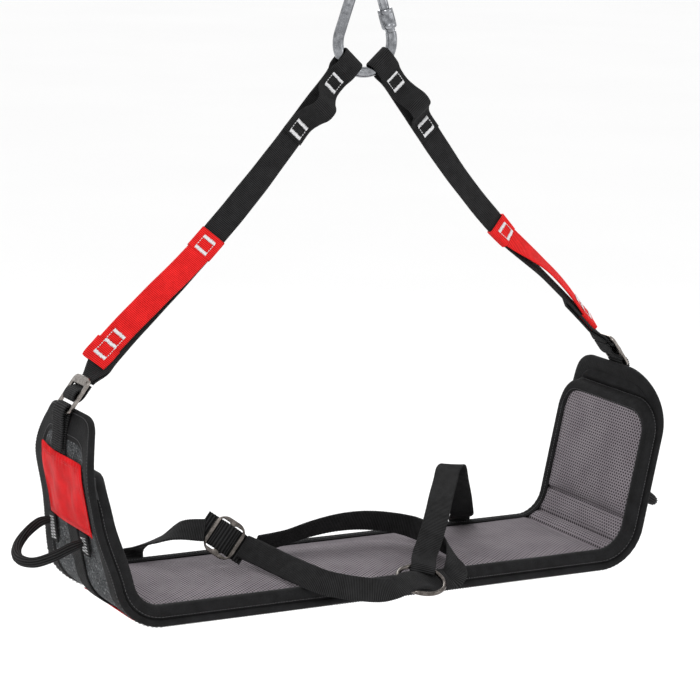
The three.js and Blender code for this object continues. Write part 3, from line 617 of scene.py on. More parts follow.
def layer(name, s, half, inner, outer, relief, columns=44):
    """A closed layer between two depths. relief(s, y, edge) pushes the outer face further out,
    where edge is the distance in from the layer's nearest edge."""
    share = np.sin(np.linspace(-1, 1, columns) * math.pi / 2)
    share = 0.5 * share + 0.5 * np.linspace(-1, 1, columns)
    depth = half(s)[:, None] if callable(half) else np.full((len(s), 1), half)
    y = depth * share[None, :]
    s_grid = np.broadcast_to(s[:, None], y.shape)
    edge = np.minimum(depth - np.abs(y), np.minimum(s_grid - s[0], s[-1] - s_grid))
    outer_face = surface_at(s_grid, y, outer + relief(s_grid, y, edge))
    inner_face = surface_at(s_grid, y, inner)
    return closed_grid(name, outer_face, inner_face, np.stack([s_grid, y], -1), sharp=60)


def ripple(s, y, size, seed):
    """Soft irregular waves, the same each run."""
    source = np.random.default_rng(seed)
    total = np.zeros(np.broadcast(s, y).shape)
    for _ in range(6):
        turn, phase = source.uniform(0, 2 * math.pi, 2)
        length = size * source.uniform(0.7, 1.8)
        total = total + np.sin((s * math.cos(turn) + y * math.sin(turn)) * 2 * math.pi / length + phase)
    return total / 6


# ------------------------------------------------------------------ pad
PAD_DEPTH = {"top": 0.6, "bottom": 9.2, "channel": 5.4, "rim": 3.0}
PUFF = {"cap": 3.6, "frames": 20}
CLOTH = {"vertex_group_mass": "pinned", "quality": 5, "mass": 0.12, "tension_stiffness": 12,
         "compression_stiffness": 12, "shear_stiffness": 4, "bending_stiffness": 0.4,
         "use_pressure": True, "uniform_pressure_force": 9.0}


def puffed(piece, pinned):
    """Swells the pad between its seams by cloth simulation and keeps the result."""
    group = piece.vertex_groups.new(name="pinned")
    group.add([int(i) for i in pinned], 1.0, "REPLACE")
    cloth = piece.modifiers.new("puff", "CLOTH")
    for key, value in CLOTH.items():
        setattr(cloth.settings, key, value)
    cloth.settings.effector_weights.gravity = 0
    cloth.collision_settings.use_collision = False
    cloth.collision_settings.use_self_collision = False
    cloth.point_cache.frame_end = PUFF["frames"]
    for number in range(1, PUFF["frames"] + 1):
        bpy.context.scene.frame_set(number)
    seen = piece.evaluated_get(bpy.context.evaluated_depsgraph_get())
    count = len(piece.data.vertices)
    rest, moved = np.empty(count * 3), np.empty(count * 3)
    piece.data.vertices.foreach_get("co", rest)
    seen.data.vertices.foreach_get("co", moved)
    travel = (moved - rest).reshape(-1, 3)
    size = np.linalg.norm(travel, axis=1, keepdims=True)
    cap = PUFF["cap"] * MM
    travel *= cap * np.tanh(size / cap) / np.maximum(size, 1e-9)
    piece.modifiers.remove(cloth)
    piece.vertex_groups.remove(group)
    piece.data.vertices.foreach_set("co", rest + travel.ravel())
    piece.data.update()
    bpy.context.scene.frame_set(1)


def pad():
    """The padded mesh: one cloth over all the foam, sewn down along the fold lines."""
    end, shift = PAD["length"] - 1.0, PAD["shift"]
    folds = [side * f for side in (-1, 1) for f in FOLDS]
    beside = [f + d for f in folds for d in (-3.2, -1.4, 0.0, 1.4, 3.2)]
    rounded = [shift + side * (PAD["length"] - PAD["corner"] * (1 - math.sin(t)))
               for side in (-1, 1) for t in np.linspace(0.2, 1.45, 12)]
    s = marks(shift - end, shift + end, 5.0, beside + rounded)
    s = s[np.concatenate([[True], np.diff(s) > 0.6])]
    near_fold = np.min(np.abs(s[:, None] - np.array(folds)[None]), axis=1)
    channel = np.exp(-(near_fold / 1.9) ** 2)
    share = np.linspace(-1, 1, 35)
    share = np.sign(share) * (1 - (1 - np.abs(share)) ** 1.15)
    half = outline_half(s, PAD, 1.0)
    y = half[:, None] * share[None]
    s_grid = np.broadcast_to(s[:, None], y.shape)
    edge = np.minimum(half[:, None] - np.abs(y), end - np.abs(s_grid - shift))
    rim = np.exp(-(edge / 5.0) ** 1.5)
    top = PAD_DEPTH["top"] + (PAD_DEPTH["channel"] - PAD_DEPTH["top"]) * channel[:, None]
    top = top + (PAD_DEPTH["rim"] - PAD_DEPTH["top"]) * rim
    top = top + 0.25 * ripple(s_grid, y, 60, 3) * (1 - rim)
    upper = surface_at(s_grid, y, top)
    lower = surface_at(s_grid, y, PAD_DEPTH["bottom"])
    piece = closed_grid("pad_mesh", upper, lower, np.stack([s_grid, y], -1), sharp=180)
    rows, columns = y.shape
    count = rows * columns
    stitched = [i * columns + j for i in np.flatnonzero(near_fold < 0.6) for j in range(columns)]
    puffed(piece, sorted(set(stitched + rim_of(rows, columns) + list(range(count, 2 * count)))))
    piece.modifiers.new("smooth", "SUBSURF")
    foams = ["seat_foam"] + [f"{side}_{part}_foam" for side, _ in SIDES
                             for part in ("lower_fold", "upper_fold", "wing")]
    finished(piece, "seat", MESH_CLOTH, "grey_mesh", "pad_mesh_cover", *foams)


# ------------------------------------------------------------------ bindings
# Each tape's section, as (inset, depth) corners.
PAD_TAPE = ((11.5, -0.2), (9.5, -1.1), (6.5, -1.9), (3.5, -1.9), (1.2, -0.9), (0.0, 1.4), (-0.3, 4.5),
            (-0.1, 8.5), (0.6, 11.2), (2.2, 12.0), (4.5, 11.7), (4.5, 10.6), (2.4, 9.6), (2.0, 5.0),
            (3.2, 1.6), (6.0, 0.8), (9.0, 0.9), (11.2, 0.9))
SHELL_TAPE = ((14.0, 12.7), (10.0, 12.0), (5.0, 11.8), (1.8, 12.2), (0.2, 13.6), (0.0, 15.4), (0.6, 17.4),
              (3.0, 18.7), (9.0, 18.9), (16.0, 18.8), (22.0, 18.5), (24.5, 17.6), (22.0, 17.1),
              (12.0, 17.2), (4.0, 16.8), (3.0, 15.4), (3.6, 13.6), (8.0, 13.2), (13.0, 13.2))


def perimeter(outline, step=1.6):
    """The outline's edge as arrays of s, y and the inward direction, closed on itself."""
    length, half, corner = outline["length"], outline["half"], outline["corner"]
    straight = np.linspace(-(length - corner), length - corner, int(2 * (length - corner) / step))
    across = np.linspace(-(half - corner), half - corner, max(int(2 * (half - corner) / step), 2))
    turn = np.linspace(0, math.pi / 2, max(int(corner * math.pi / 2 / step), 6))
    parts = [(straight, np.full_like(straight, -half), np.zeros_like(straight), np.ones_like(straight))]
    for side, start in ((1, -math.pi / 2), (1, 0), (-1, math.pi / 2), (-1, math.pi)):
        angle = start + turn
        middle_y = (half - corner) * (-1 if start < 0 or start == math.pi else 1)
        parts.append((side * (length - corner) + corner * np.cos(angle), middle_y + corner * np.sin(angle),
                      -np.cos(angle), -np.sin(angle)))
        if start == -math.pi / 2:
            parts.append((np.full_like(across, length), across, np.full_like(across, -1),
                          np.zeros_like(across)))
        if start == 0:
            parts.append((straight[::-1], np.full_like(straight, half), np.zeros_like(straight),
                          np.full_like(straight, -1)))
        if start == math.pi / 2:
            parts.append((np.full_like(across, -length), across[::-1], np.ones_like(across),
                          np.zeros_like(across)))
    s, y, in_s, in_y = (np.concatenate([p[k] for p in parts]) for k in range(4))
    step_from = np.hypot(s - np.roll(s, 1), y - np.roll(y, 1))
    keep = step_from > 0.05
    return s[keep] + outline["shift"], y[keep], in_s[keep], in_y[keep]


def binding(name, outline, section, pucker):
    """Folded tape round an outline. section holds (inset, depth) corners round the tape."""
    s, y, in_s, in_y = perimeter(outline)
    travel = np.cumsum(np.hypot(np.diff(s, prepend=s[0]), np.diff(y, prepend=y[0])))
    section = np.array(section)
    bending = np.exp(-((np.abs(s) - (FLAT_HALF + WING_START) / 2) / 26) ** 2)
    wave = np.sin(travel * 2 * math.pi / 5.5) * (0.25 + 0.75 * bending) + 0.5 * np.sin(travel / 31)
    middle = section.mean(axis=0)
    offset = section - middle
    grow = 1 + pucker * wave[:, None] / np.maximum(np.abs(offset[None, :, 1]), 2.0)
    inset = middle[0] + np.broadcast_to(offset[None, :, 0], grow.shape)
    depth = middle[1] + offset[None, :, 1] * grow
    rings = surface_at(s[:, None] + in_s[:, None] * inset, y[:, None] + in_y[:, None] * inset, depth)
    across = np.concatenate([[0], np.cumsum(np.hypot(*np.diff(section, axis=0).T))])
    uv = np.stack(np.broadcast_arrays(travel[:, None], across[None]), -1)
    return loft(name, rings, uv, closed=True, sharp=70)


def edge_stitches(name, outline, inset, depth, outward):
    """A row of stitches that follows an outline's edge."""
    s, y, in_s, in_y = perimeter(outline, 0.5)
    travel = np.cumsum(np.hypot(np.diff(s, prepend=s[0]), np.diff(y, prepend=y[0])))
    start = np.arange(0, travel[-1] - EDGE_PITCH, EDGE_PITCH)
    places = []
    for at in (start, start + EDGE_PITCH * 0.68):
        u, v, a, b = (np.interp(at, travel, part) for part in (s, y, in_s, in_y))
        places.append(surface_at(u + a * inset, v + b * inset, depth))
        face = surface_normal(u) * outward
    piece = stitches(name, [(places[0], places[1], face)], radius=0.32, lift=0.35)
    finished(piece, "seat", DARK_THREAD, "black_webbing")


def bindings():
    """Both bindings and their rows of stitches."""
    pad_tape = binding("pad_binding_tape", PAD, PAD_TAPE, 0.22)
    finished(pad_tape, "seat", TAPE, "black_webbing", "pad_binding")
    shell_tape = binding("shell_binding_tape", SHELL, SHELL_TAPE, 0.2)
    finished(shell_tape, "seat", TAPE, "black_webbing", "shell_binding")
    edge_stitches("pad_binding_stitches", PAD, 8.8, -1.35, -1)
    edge_stitches("pad_side_stitches", PAD, -0.35, 9.3, -1)
    edge_stitches("shell_outer_stitches", SHELL, 20.5, 18.9, 1)
    edge_stitches("shell_edge_stitches", SHELL, 3.4, 18.8, 1)


# ------------------------------------------------------------------ shell, linings and patches
PATCH = {"low": 340.0, "high": 409.0, "half": 57.0}
UNDERSIDE = {"half": 60.0, "end": 262.0}
GEAR_TABS = ((55.0, 309, 339), (-30.0, 316, 338))    # middle across the wing, lower and upper end


def shell():
    """The flecked cloth on the outside, a little swollen between its seams."""
    s = marks(-(SHELL["length"] - 3), SHELL["length"] - 3, 6.0)
    s = np.concatenate([s[s < -430], marks(-430, 430, 5.0), s[s > 430]])
    s = s[np.concatenate([[True], np.diff(s) > 0.6])]

    def relief(u, v, edge):
        return 0.5 * smooth(edge / 30) + 0.35 * ripple(u, v, 55, 11) * smooth(edge / 20)
    piece = layer("outer_shell_cloth", s, lambda v: outline_half(v, SHELL, 3.0), 13.3, 16.8, relief)
    finished(piece, "seat", FELT, "grey_felt", "outer_shell")


def wing_linings():
    """Black cloth over the wing's top, with the padded roll above the mesh."""
    inset = 12.6
    for side, sign in SIDES:
        s = np.sort(sign * np.linspace(366.0, SHELL["length"] - inset, 28))
        pad_end = PAD["length"] + sign * PAD["shift"]

        def relief(u, v, edge):
            past = np.abs(u) - pad_end
            roll = np.exp(-((past - 4.5) / 3.4) ** 2)
            creases = 0.5 * ripple(u, v, 24, 5) * smooth(edge / 6) * smooth((past + 4) / 5)
            return -4.2 * roll * smooth(edge / 3) - creases
        piece = layer(f"{side}_wing_lining_cloth", s, lambda v: outline_half(v, SHELL, inset), 13.0, 12.2,
                      relief)
        finished(piece, "seat", TAPE, "black_webbing", f"{side}_wing_lining")


def patches():
    """The red patch on each wing's outside: hemmed, and loose enough to wrinkle."""
    low, high, half = PATCH["low"], PATCH["high"], PATCH["half"]
    for side, sign in SIDES:
        s = np.sort(sign * np.linspace(low, high, 42))

        def relief(u, v, edge):
            hem = 0.7 * np.exp(-((edge - 3.0) / 1.6) ** 2)
            folds = np.sin(v / 8.0 + 1.8 * np.sin(u / 24)) * np.exp(-((np.abs(u) - 378) / 34) ** 2)
            pucker = 0.7 * np.sin(v * 2 * math.pi / 7.0) * np.exp(-((high - np.abs(u)) / 7) ** 2)
            return hem + pucker + 1.7 * smooth(edge / 9) * (0.5 + folds + 0.5 * ripple(u, v, 22, 21))
        piece = layer(f"{side}_wing_patch_cloth", s, half, 20.0, 20.8, relief, columns=70)
        finished(piece, "seat", RED_CLOTH, "red_fabric", f"{side}_wing_patch")
        seams = []
        for inset in (4.2, 5.8):
            corners = [(low + inset, -half + inset), (low + inset, half - inset),
                       (high - inset, half - inset), (high - inset, -half + inset)]
            for a, b in zip(corners, corners[1:] + corners[:1]):
                seams.append(stitch_line(wing_place(sign, 21.6), a, b, 3.0))
        sewn(f"{side}_wing_patch_stitches", seams, RED_THREAD, "red_fabric", 0.28, 0.3)


def wing_place(sign, depth):
    """Like on_strip, for places (s, y) on the seat's curved surface."""
    def at(s, y):
        s = np.asarray(s, float) * sign
        return surface_at(s, y, depth), surface_normal(s)
    return at


def underside():
    """The red cloth sewn under the seat."""
    half, end = UNDERSIDE["half"], UNDERSIDE["end"]
    piece = layer("underside_cloth", marks(-end, end, 5.0), half, 20.0, 20.8,
                  lambda u, v, edge: 0.5 * np.exp(-((edge - 3) / 1.6) ** 2) + 0.5 * ripple(u, v, 50, 31))
    finished(piece, "seat", RED_CLOTH, "red_fabric", "underside_panel")
    at = wing_place(1, 21.6)
    corners = [(-end + 5, -half + 5), (-end + 5, half - 5), (end - 5, half - 5), (end - 5, -half + 5)]
    seams = [stitch_line(at, a, b, 3.2) for a, b in zip(corners, corners[1:] + corners[:1])]
    sewn("underside_stitches", seams, RED_THREAD, "red_fabric", 0.28, 0.3)


def seat_webbing():
    """The load webbing under the seat and the bands that carry the gear loops."""
    s = np.linspace(-404, 404, 700)
    line = surface_at(s, 0.0, 18.6)
    frames = (line, np.tile([0.0, 1.0, 0.0], (len(s), 1)), surface_normal(s))
    finished(webbing("load_webbing_strap", frames), "seat", BLACK_WEB, "black_webbing", "load_webbing")
    for side, sign in SIDES:
        tabs, runs = [], []
        for middle, low, high in GEAR_TABS:
            s = sign * np.linspace(low, high, 40)
            normal = surface_normal(s)
            line = surface_at(s, middle, 20.4)
            across = np.tile([0.0, 1.0, 0.0], (len(s), 1))
            tabs.append(webbing(f"{side}_gear_tab_{low}", (line, across, normal), width=19.0))
            at = wing_place(sign, 21.5)
            for row in np.arange(low + 2.5, high - 5, 1.6):
                lean = 6.5 if int(row / 1.6) % 2 else -6.5
                a, face = at(np.array([row]), np.array([middle - lean]))
                b, _ = at(np.array([row + 1.5]), np.array([middle + lean]))
                c, _ = at(np.array([row + 0.75]), np.array([middle]))
                runs += [(a, c, face), (c, b, face)]
        finished(joined(f"{side}_gear_tabs", tabs), "seat", BLACK_WEB, "black_webbing",
                 f"{side}_gear_loop_base")
        sewn(f"{side}_gear_band_tacks", runs, WHITE_THREAD, "black_webbing", 0.36, 0.1)


# ------------------------------------------------------------------ wing buckles
def buckle_axes():
    slope = BUCKLE["slope"]
    down = np.array([-math.cos(slope), 0.0, -math.sin(slope)])
    out = np.array([-math.sin(slope), 0.0, math.cos(slope)])
    return down, out


def on_buckle(u, out):
    down, away = buckle_axes()
    return BUCKLE_TOP + down * u + away * out


STRAP_END = on_buckle(4.0, -3.2)
STRAP_FROM = np.array([0.0, 0.0, BASKET_Z])
STRAP_LENGTH = float(np.linalg.norm(STRAP_END - STRAP_FROM))


def rounded_outline(half_width, low, high, radius, step=0.8):
    """A rounded rectangle as a closed line of points."""
    points = []
    for x, y, start in ((half_width, low, -90), (half_width, high, 0), (-half_width, high, 90),
                        (-half_width, low, 180)):
        middle_x = x - math.copysign(radius, x)
        middle_y = y + (radius if y == low else -radius)
        for angle in np.radians(np.linspace(start, start + 90, 10)):
            points.append((middle_x + radius * math.cos(angle), middle_y + radius * math.sin(angle)))
    dense = []
    for a, b in zip(points, points[1:] + points[:1]):
        count = max(int(math.dist(a, b) / step), 1)
        dense += [tuple(np.array(a) + (np.array(b) - np.array(a)) * k / count) for k in range(count)]
    return dense


def plate(name, outlines, thick, bevel, to_row):
    """A flat plate with holes and rounded edges, placed by a 4x4 matrix in millimetres."""
    curve = bpy.data.curves.new(name, "CURVE")
    curve.dimensions = "2D"
    curve.fill_mode = "BOTH"
    curve.extrude = thick / 2 - bevel
    curve.bevel_depth = bevel
    curve.bevel_resolution = 3
    curve.offset = -bevel
    for outline in outlines:
        spline = curve.splines.new("POLY")
        spline.points.add(len(outline) - 1)
        for point, (x, y) in zip(spline.points, outline):
            point.co = (x, y, 0, 1)
        spline.use_cyclic_u = True
    holder = bpy.data.objects.new(name + "_curve", curve)
    bpy.context.scene.collection.objects.link(holder)
    bpy.context.view_layer.update()
    mesh = bpy.data.meshes.new_from_object(holder)
    bpy.data.objects.remove(holder)
    mesh.transform(Matrix.Scale(MM, 4) @ to_row)
    made = bmesh.new()
    made.from_mesh(mesh)
    bmesh.ops.remove_doubles(made, verts=made.verts, dist=1e-6)
    bmesh.ops.recalc_face_normals(made, faces=made.faces)
    made.to_mesh(mesh)
    made.free()
    mesh.name = name
    mesh.shade_smooth()
    mesh.set_sharp_from_angle(angle=math.radians(35))
    piece = bpy.data.objects.new(name, mesh)
    bpy.context.scene.collection.objects.link(piece)
    return piece


def basis(x, y, z, at):
    made = Matrix.Identity(4)
    for k, axis in enumerate((x, y, z, at)):
        for row in range(3):
            made[row][k] = float(axis[row])
    return made


def swept(name, line, profile_up, section, closed=False, grow=None):
    """A solid bar: a section of (side, up) corners carried along a line, scaled by grow at each point."""
    line = np.asarray(line, float)
    if closed:
        along = unit(np.roll(line, -1, axis=0) - np.roll(line, 1, axis=0))
    else:
        along = unit(np.gradient(line, axis=0))
    up = unit(np.broadcast_to(np.asarray(profile_up, float), line.shape))
    side = unit(np.cross(along, up))
    size = np.ones(len(line)) if grow is None else np.asarray(grow, float)
    section = np.asarray(section, float)[None] * size[:, None, None]
    rings = line[:, None] + side[:, None] * section[..., :1] + up[:, None] * section[..., 1:]
    return loft(name, rings, closed=closed)


def circle(radius, sides=24):
    turn = np.arange(sides) * 2 * math.pi / sides
    return np.stack([radius * np.cos(turn), radius * np.sin(turn)], 1)


def bent_bar(name, centre, across, down, out, half_length, radius, arc, thick):
    """A plate bent into part of a tube, lying across a buckle."""
    turn = np.radians(np.linspace(-arc / 2, arc / 2, 15))
    outer = np.stack([radius * np.sin(turn), radius * np.cos(turn)], 1)
    inner = outer[::-1] * (radius - thick) / radius
    section = np.concatenate([outer, inner]) - [0, radius - thick]
    ends = np.linspace(-half_length, half_length, 19)
    taper = 1 - 0.55 * np.clip((np.abs(ends) - half_length + 4) / 4, 0, 1) ** 2.2
    rings = (np.asarray(centre)[None, None] + np.asarray(across)[None, None] * ends[:, None, None]
             + np.asarray(down)[None, None] * (section[None, :, :1] * taper[:, None, None])
             + np.asarray(out)[None, None] * section[None, :, 1:])
    return loft(name, rings, sharp=40)


def buckles():
    """Each three-bar buckle: a plate with two slots and a bent top bar."""
    down, out = buckle_axes()
    half = BUCKLE["width"] / 2 - 1.2
    reach = WEB_WIDTH / 2 + 1.2
    flip = np.array([-1.0, 1.0, 1.0])
    for side, sign in SIDES:
        across = np.array([0.0, 1.0, 0.0])
        d, o, top = (down, out, BUCKLE_TOP) if sign < 0 else (down * flip, out * flip, BUCKLE_TOP * flip)
        outlines = [rounded_outline(half, 0.0, BUCKLE["length"], 7.0)]
        for low, high in (BUCKLE_BARS[1:3], BUCKLE_BARS[3:5]):
            outlines.append(rounded_outline(reach, low, high, 1.6))
        place = basis(across, d, o, top)
        frame_plate = plate(f"{side}_buckle_plate", outlines, BUCKLE["thick"], 0.8, place)
        roller = bent_bar(f"{side}_buckle_roller", top + d * 4.6 + o * 0.6, across, d, o,
                          half_length=14.5, radius=6.2, arc=118, thick=1.8)
        for piece in (frame_plate, roller):
            piece.data.materials.append(GUNMETAL)
        whole = joined(f"{side}_buckle_frame", [frame_plate, roller])
        whole.data.shade_smooth()
        whole.data.set_sharp_from_angle(angle=math.radians(38))
        finished(whole, f"buckle_{side}", GUNMETAL, "gunmetal_steel", f"{side}_buckle")


def buckle_webbing():
    """The wing's loop round the lower bar, and the strap's turn through the buckle."""
    bar = (BUCKLE_BARS[4] + BUCKLE_BARS[5]) / 2
    reach = BUCKLE["thick"] / 2 + GAP + 0.2 + WEB_THICK / 2

    def wing(s, n):
        return surface_at(-s, 0.0, n)
    loop = [wing(404.6, 18.5), wing(412, 18.7), wing(422, 19.8), on_buckle(bar + 1.5, -reach),
            on_buckle(BUCKLE_BARS[4] - 0.6, -reach), on_buckle(BUCKLE_BARS[4] - 2.4, 0),
            on_buckle(BUCKLE_BARS[4] - 0.6, reach), on_buckle(bar + 3, reach + 0.2), wing(428, 24.2),
            wing(420, 23.0), wing(412, 22.6)]
    turn = [(6.5, -3.2), (10, -2.6), (13.3, 0.2), (16, 2.7), (20, 3.4), (24, 2.7), (25.6, 0), (24.2, -3.6),
            (19, -5.8), (11, -6.2), (5, -6.3)]
    for side, sign in SIDES:
        frames = mirrored(flat_frames(loop), sign)
        coarse = webbing(f"{side}_wing_loop_web", frames, height=0.4, pitch=2.2)
        finished(coarse, "seat", BLACK_WEB, "black_webbing", f"{side}_wing_loop")
        frames = mirrored(flat_frames([on_buckle(u, n) for u, n in turn]), sign)
        finished(webbing(f"{side}_strap_turn_web", frames), f"buckle_{side}", BLACK_WEB, "black_webbing",
                 f"{side}_strap_turn")


# ------------------------------------------------------------------ hanging straps
# Each strap is twisted a quarter turn in all, in stages: from, to and degrees.
STRAP_TURNS = {"left": ((120, 240, 26), (290, 390, -12), (398, 434, 76)),
               "right": ((120, 200, 14), (232, 330, 48), (408, 434, 28))}
STRAP_STEPS = 400


def strap_turn(a, side):
    """How far the strap has turned from facing forward to facing outward."""
    return sum(math.radians(angle) * smooth((a - start) / (stop - start))
               for start, stop, angle in STRAP_TURNS[side])


def strap_frame(a, side):
    """The left strap's middle line, and its webbing's direction across, face and run there."""
    a = np.asarray(a, float)
    along = unit(STRAP_END - STRAP_FROM)
    inward = np.array([-along[2], 0.0, along[0]])
    share = np.clip(a / STRAP_LENGTH, 0, 1)
    turn = strap_turn(a, side)[:, None]
    across = inward * np.cos(turn) + np.array([0.0, -1.0, 0.0]) * np.sin(turn)
    normal = unit(np.cross(along, across))
    bow = STRAP_BOW[side] * np.sin(math.pi * share) ** 2
    place = STRAP_FROM + along * a[:, None] + inward * bow[:, None]
    place = place - normal * (HEAD["back"] * (1 - share))[:, None]
    return place, across, normal, along


def head_route():
    inside = math.sqrt((BASKET_R - BAR_R) ** 2 - (WEB_WIDTH / 2) ** 2)
    fold = inside - 2 * GAP - WEB_THICK / 2
    turn_r = BAR_R + GAP + WEB_THICK / 2
    back, closed, ply = HEAD["back"], HEAD["closed"], HEAD["ply"]
    low, high = HEAD["slack"]
    route = [(SEAM, 0), (80, 0), (closed, 0), (closed - 8, back - turn_r + 0.6), (BASKET_R, back - turn_r)]
    for i in range(1, 8):
        angle = -math.pi / 2 + math.pi * i / 8
        route.append((fold + turn_r - turn_r * math.cos(angle), back + turn_r * math.sin(angle)))
    route += [(BASKET_R, back + turn_r), (closed - 8, back + turn_r - 0.8), (closed, 3.0), (low, ply)]
    for share in (0.2, 0.4, 0.6, 0.8):
        route.append((low + (high - low) * share, ply + HEAD["bulge"] * math.sin(math.pi * share) ** 2))
    return route + [(high, ply), (HEAD["end"], ply)]


def head_frames(side):
    line = catmull([(a, h, 0) for a, h in head_route()])
    run = unit(np.gradient(line, axis=0))
    place, across, normal, along = strap_frame(line[:, 0], side)
    place = place + normal * line[:, 1:2]
    face = normal * run[:, :1] - along * run[:, 1:2]
    return place, across, unit(face)


def stretch(side, start, stop, lift=None):
    a = np.linspace(start, stop, STRAP_STEPS)
    place, across, normal, _ = strap_frame(a, side)
    height = lift(np.linspace(0, 1, STRAP_STEPS)) if lift else np.zeros(STRAP_STEPS)
    return place + normal * height[:, None], across, normal


def keeper_aside(a):
    """How far the keeper has slipped to the strap's outer edge by the distance a."""
    return KEEPER["aside"] * smooth((a - KEEPER["from"] - 15) / (KEEPER["to"] - KEEPER["from"] - 40))


def keeper_frames(side):
    place, across, normal = stretch(side, KEEPER["from"], KEEPER["to"], keeper_lift)
    a = np.linspace(KEEPER["from"], KEEPER["to"], len(place))
    return place - across * keeper_aside(a)[:, None], across, normal


def keeper_lift(t):
    share = np.clip((t - KEEPER["flat"]) / (1 - 2 * KEEPER["flat"]), 0, 1)
    return KEEPER["low"] + KEEPER["rise"] * np.sin(math.pi * share)


def keeper_sleeve(name, side, sign, start, stop):
    """The keeper's end, folded round the strap's edges."""
    a = np.arange(start, stop, RIB["pitch"] / RIB["samples"])
    place, across, normal, _ = strap_frame(a, side)
    place = place - across * keeper_aside(a)[:, None]
    place, across, normal = mirrored((place, across, normal), sign)
    outer = np.array(rounded_outline(KEEPER["width"] / 2 + 1.2, -3.0, KEEPER["low"] + 1.9, 2.4, 1.2))
    middle = outer.mean(axis=0)
    inner = middle + (outer - middle) * np.array([0.9, 0.6])
    ribs = 0.12 * np.cos(a * 2 * math.pi / RIB["pitch"])[:, None]
    height = outer[None, :, 1] + np.sign(outer[None, :, 1] - middle[1]) * ribs
    outside = place[:, None] + across[:, None] * outer[None, :, :1] + normal[:, None] * height[..., None]
    inside = place[:, None] + across[:, None] * inner[None, :, :1] + normal[:, None] * inner[None, :, 1:]
    loop = np.concatenate([outside, inside[::-1]])
    around = np.concatenate([[0], np.cumsum(np.hypot(*np.diff(outer, axis=0).T))])
    along = np.concatenate([a, a[::-1]])
    uv = np.stack(np.broadcast_arrays(along[:, None], around[None]), -1)
    return loft(name, loop, uv, closed=True, sharp=60)


def strap_squash(piece):
    """Gives the strap piece a mesh of its own."""
    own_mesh(piece)


def hanging_straps():
    """Each strap's sewn head, plain run, tail and red keeper."""
    for side, sign in SIDES:
        body = f"strap_{side}"
        head = mirrored(head_frames(side), sign)
        finished(webbing(f"{side}_strap_head_web", head), body, BLACK_WEB, "black_webbing",
                 f"{side}_strap_head")
        face = mirrored(stretch(side, 0, SEAM + 4, lambda t: HEAD["ply"] + 0 * t), sign)
        at = on_strip(face, WEB_THICK / 2 + 0.25)
        runs = box_tack(at, 46, 59, 7.0) + box_tack(at, 105, 117, 7.0)
        sewn(f"{side}_strap_head_tacks", runs, WHITE_THREAD, "black_webbing", 0.42, 0.4, body)

        run = webbing(f"{side}_strap_run_web", mirrored(stretch(side, SEAM + 0.3, STRAP_LENGTH + 1), sign))
        tail = webbing(f"{side}_strap_tail_web",
                       mirrored(stretch(side, STRAP_LENGTH - TAIL["length"], STRAP_LENGTH - 1.5,
                                        lambda t: -TAIL["gap"] + 0.4 * t), sign))
        keeper = webbing(f"{side}_keeper_web",
                         mirrored(keeper_frames(side), sign), KEEPER["width"], KEEPER["thick"])
        top, bottom = KEEPER["from"] - 1, KEEPER["to"] + 1
        upper = keeper_sleeve(f"{side}_keeper_upper_fold", side, sign, top, top + 23)
        lower = keeper_sleeve(f"{side}_keeper_lower_fold", side, sign, bottom - 23, bottom)
        at = on_strip(mirrored(keeper_frames(side), sign), KEEPER["thick"] / 2 + 1.1)
        runs = box_tack(at, 6, 19, 6.5) + box_tack(at, 134, 161, 6.5, (0.0, 0.45, 1.0))
        tacks = stitches(f"{side}_keeper_tacks", runs, 0.42, 0.4)
        for piece, look, slot, nodes in (
                (run, BLACK_WEB, "black_webbing", [f"{side}_strap_run"]),
                (tail, BLACK_WEB, "black_webbing", [f"{side}_strap_tail"]),
                (keeper, RED_WEB, "red_webbing", [f"{side}_red_keeper"]),
                (upper, RED_WEB, "red_webbing", []), (lower, RED_WEB, "red_webbing", []),
                (tacks, WHITE_THREAD, "red_webbing", [])):
            finished(piece, body, look, slot, *nodes)
            strap_squash(piece)


# ------------------------------------------------------------------ gear loops
def gear_loops():
    """The tubular loops, with ribs along them."""
    route = [(-311.5, 57, -526), (-322, 56, -528), (-338, 50, -537), (-352, 34, -546), (-357, 12, -550),
             (-351, -11, -548), (-337, -25, -540), (-322, -32, -531), (-311.5, -33, -527)]
    ribs, sides = 12, 72
    lean = {"left": (0, 0, 0), "right": (0, -16, -5)}
    turn = np.arange(sides) * 2 * math.pi / sides
    for side, sign in SIDES:
        line = catmull(route)
        line = line + np.array(lean[side]) * smooth((-line[:, :1] - 315) / 35)
        line = line * np.array([1.0 if sign < 0 else -1.0, 1, 1])
        line = even((line, line + 1, line + 1), 1.1)[0]
        along = unit(np.gradient(line, axis=0))
        up = np.tile([0.0, 0.0, 1.0], (len(line), 1))
        aside = unit(np.cross(along, up))
        up = unit(np.cross(aside, along))
        travel = np.arange(len(line)) * 1.1
        ends = np.minimum(travel, travel[-1] - travel)
        flat = 1 - 0.28 * np.exp(-(ends / 7.0) ** 2)
        radius = 4.7 + 0.4 * np.cos(turn * ribs)[None] + 0.05 * np.cos(travel * 2 * math.pi / 2.2)[:, None]
        rings = (line[:, None] + aside[:, None] * (radius * np.cos(turn)[None])[..., None]
                 + up[:, None] * (radius * np.sin(turn)[None] * flat[:, None])[..., None])
        round_tube = turn * ribs * RIB["pitch"] / (2 * math.pi)
        uv = np.stack(np.broadcast_arrays(round_tube[None], travel[:, None]), -1)
        piece = loft(f"{side}_gear_loop_tube", rings, uv, sharp=80)
        finished(piece, f"gear_{side}", BLACK_WEB, "black_webbing", f"{side}_gear_loop")


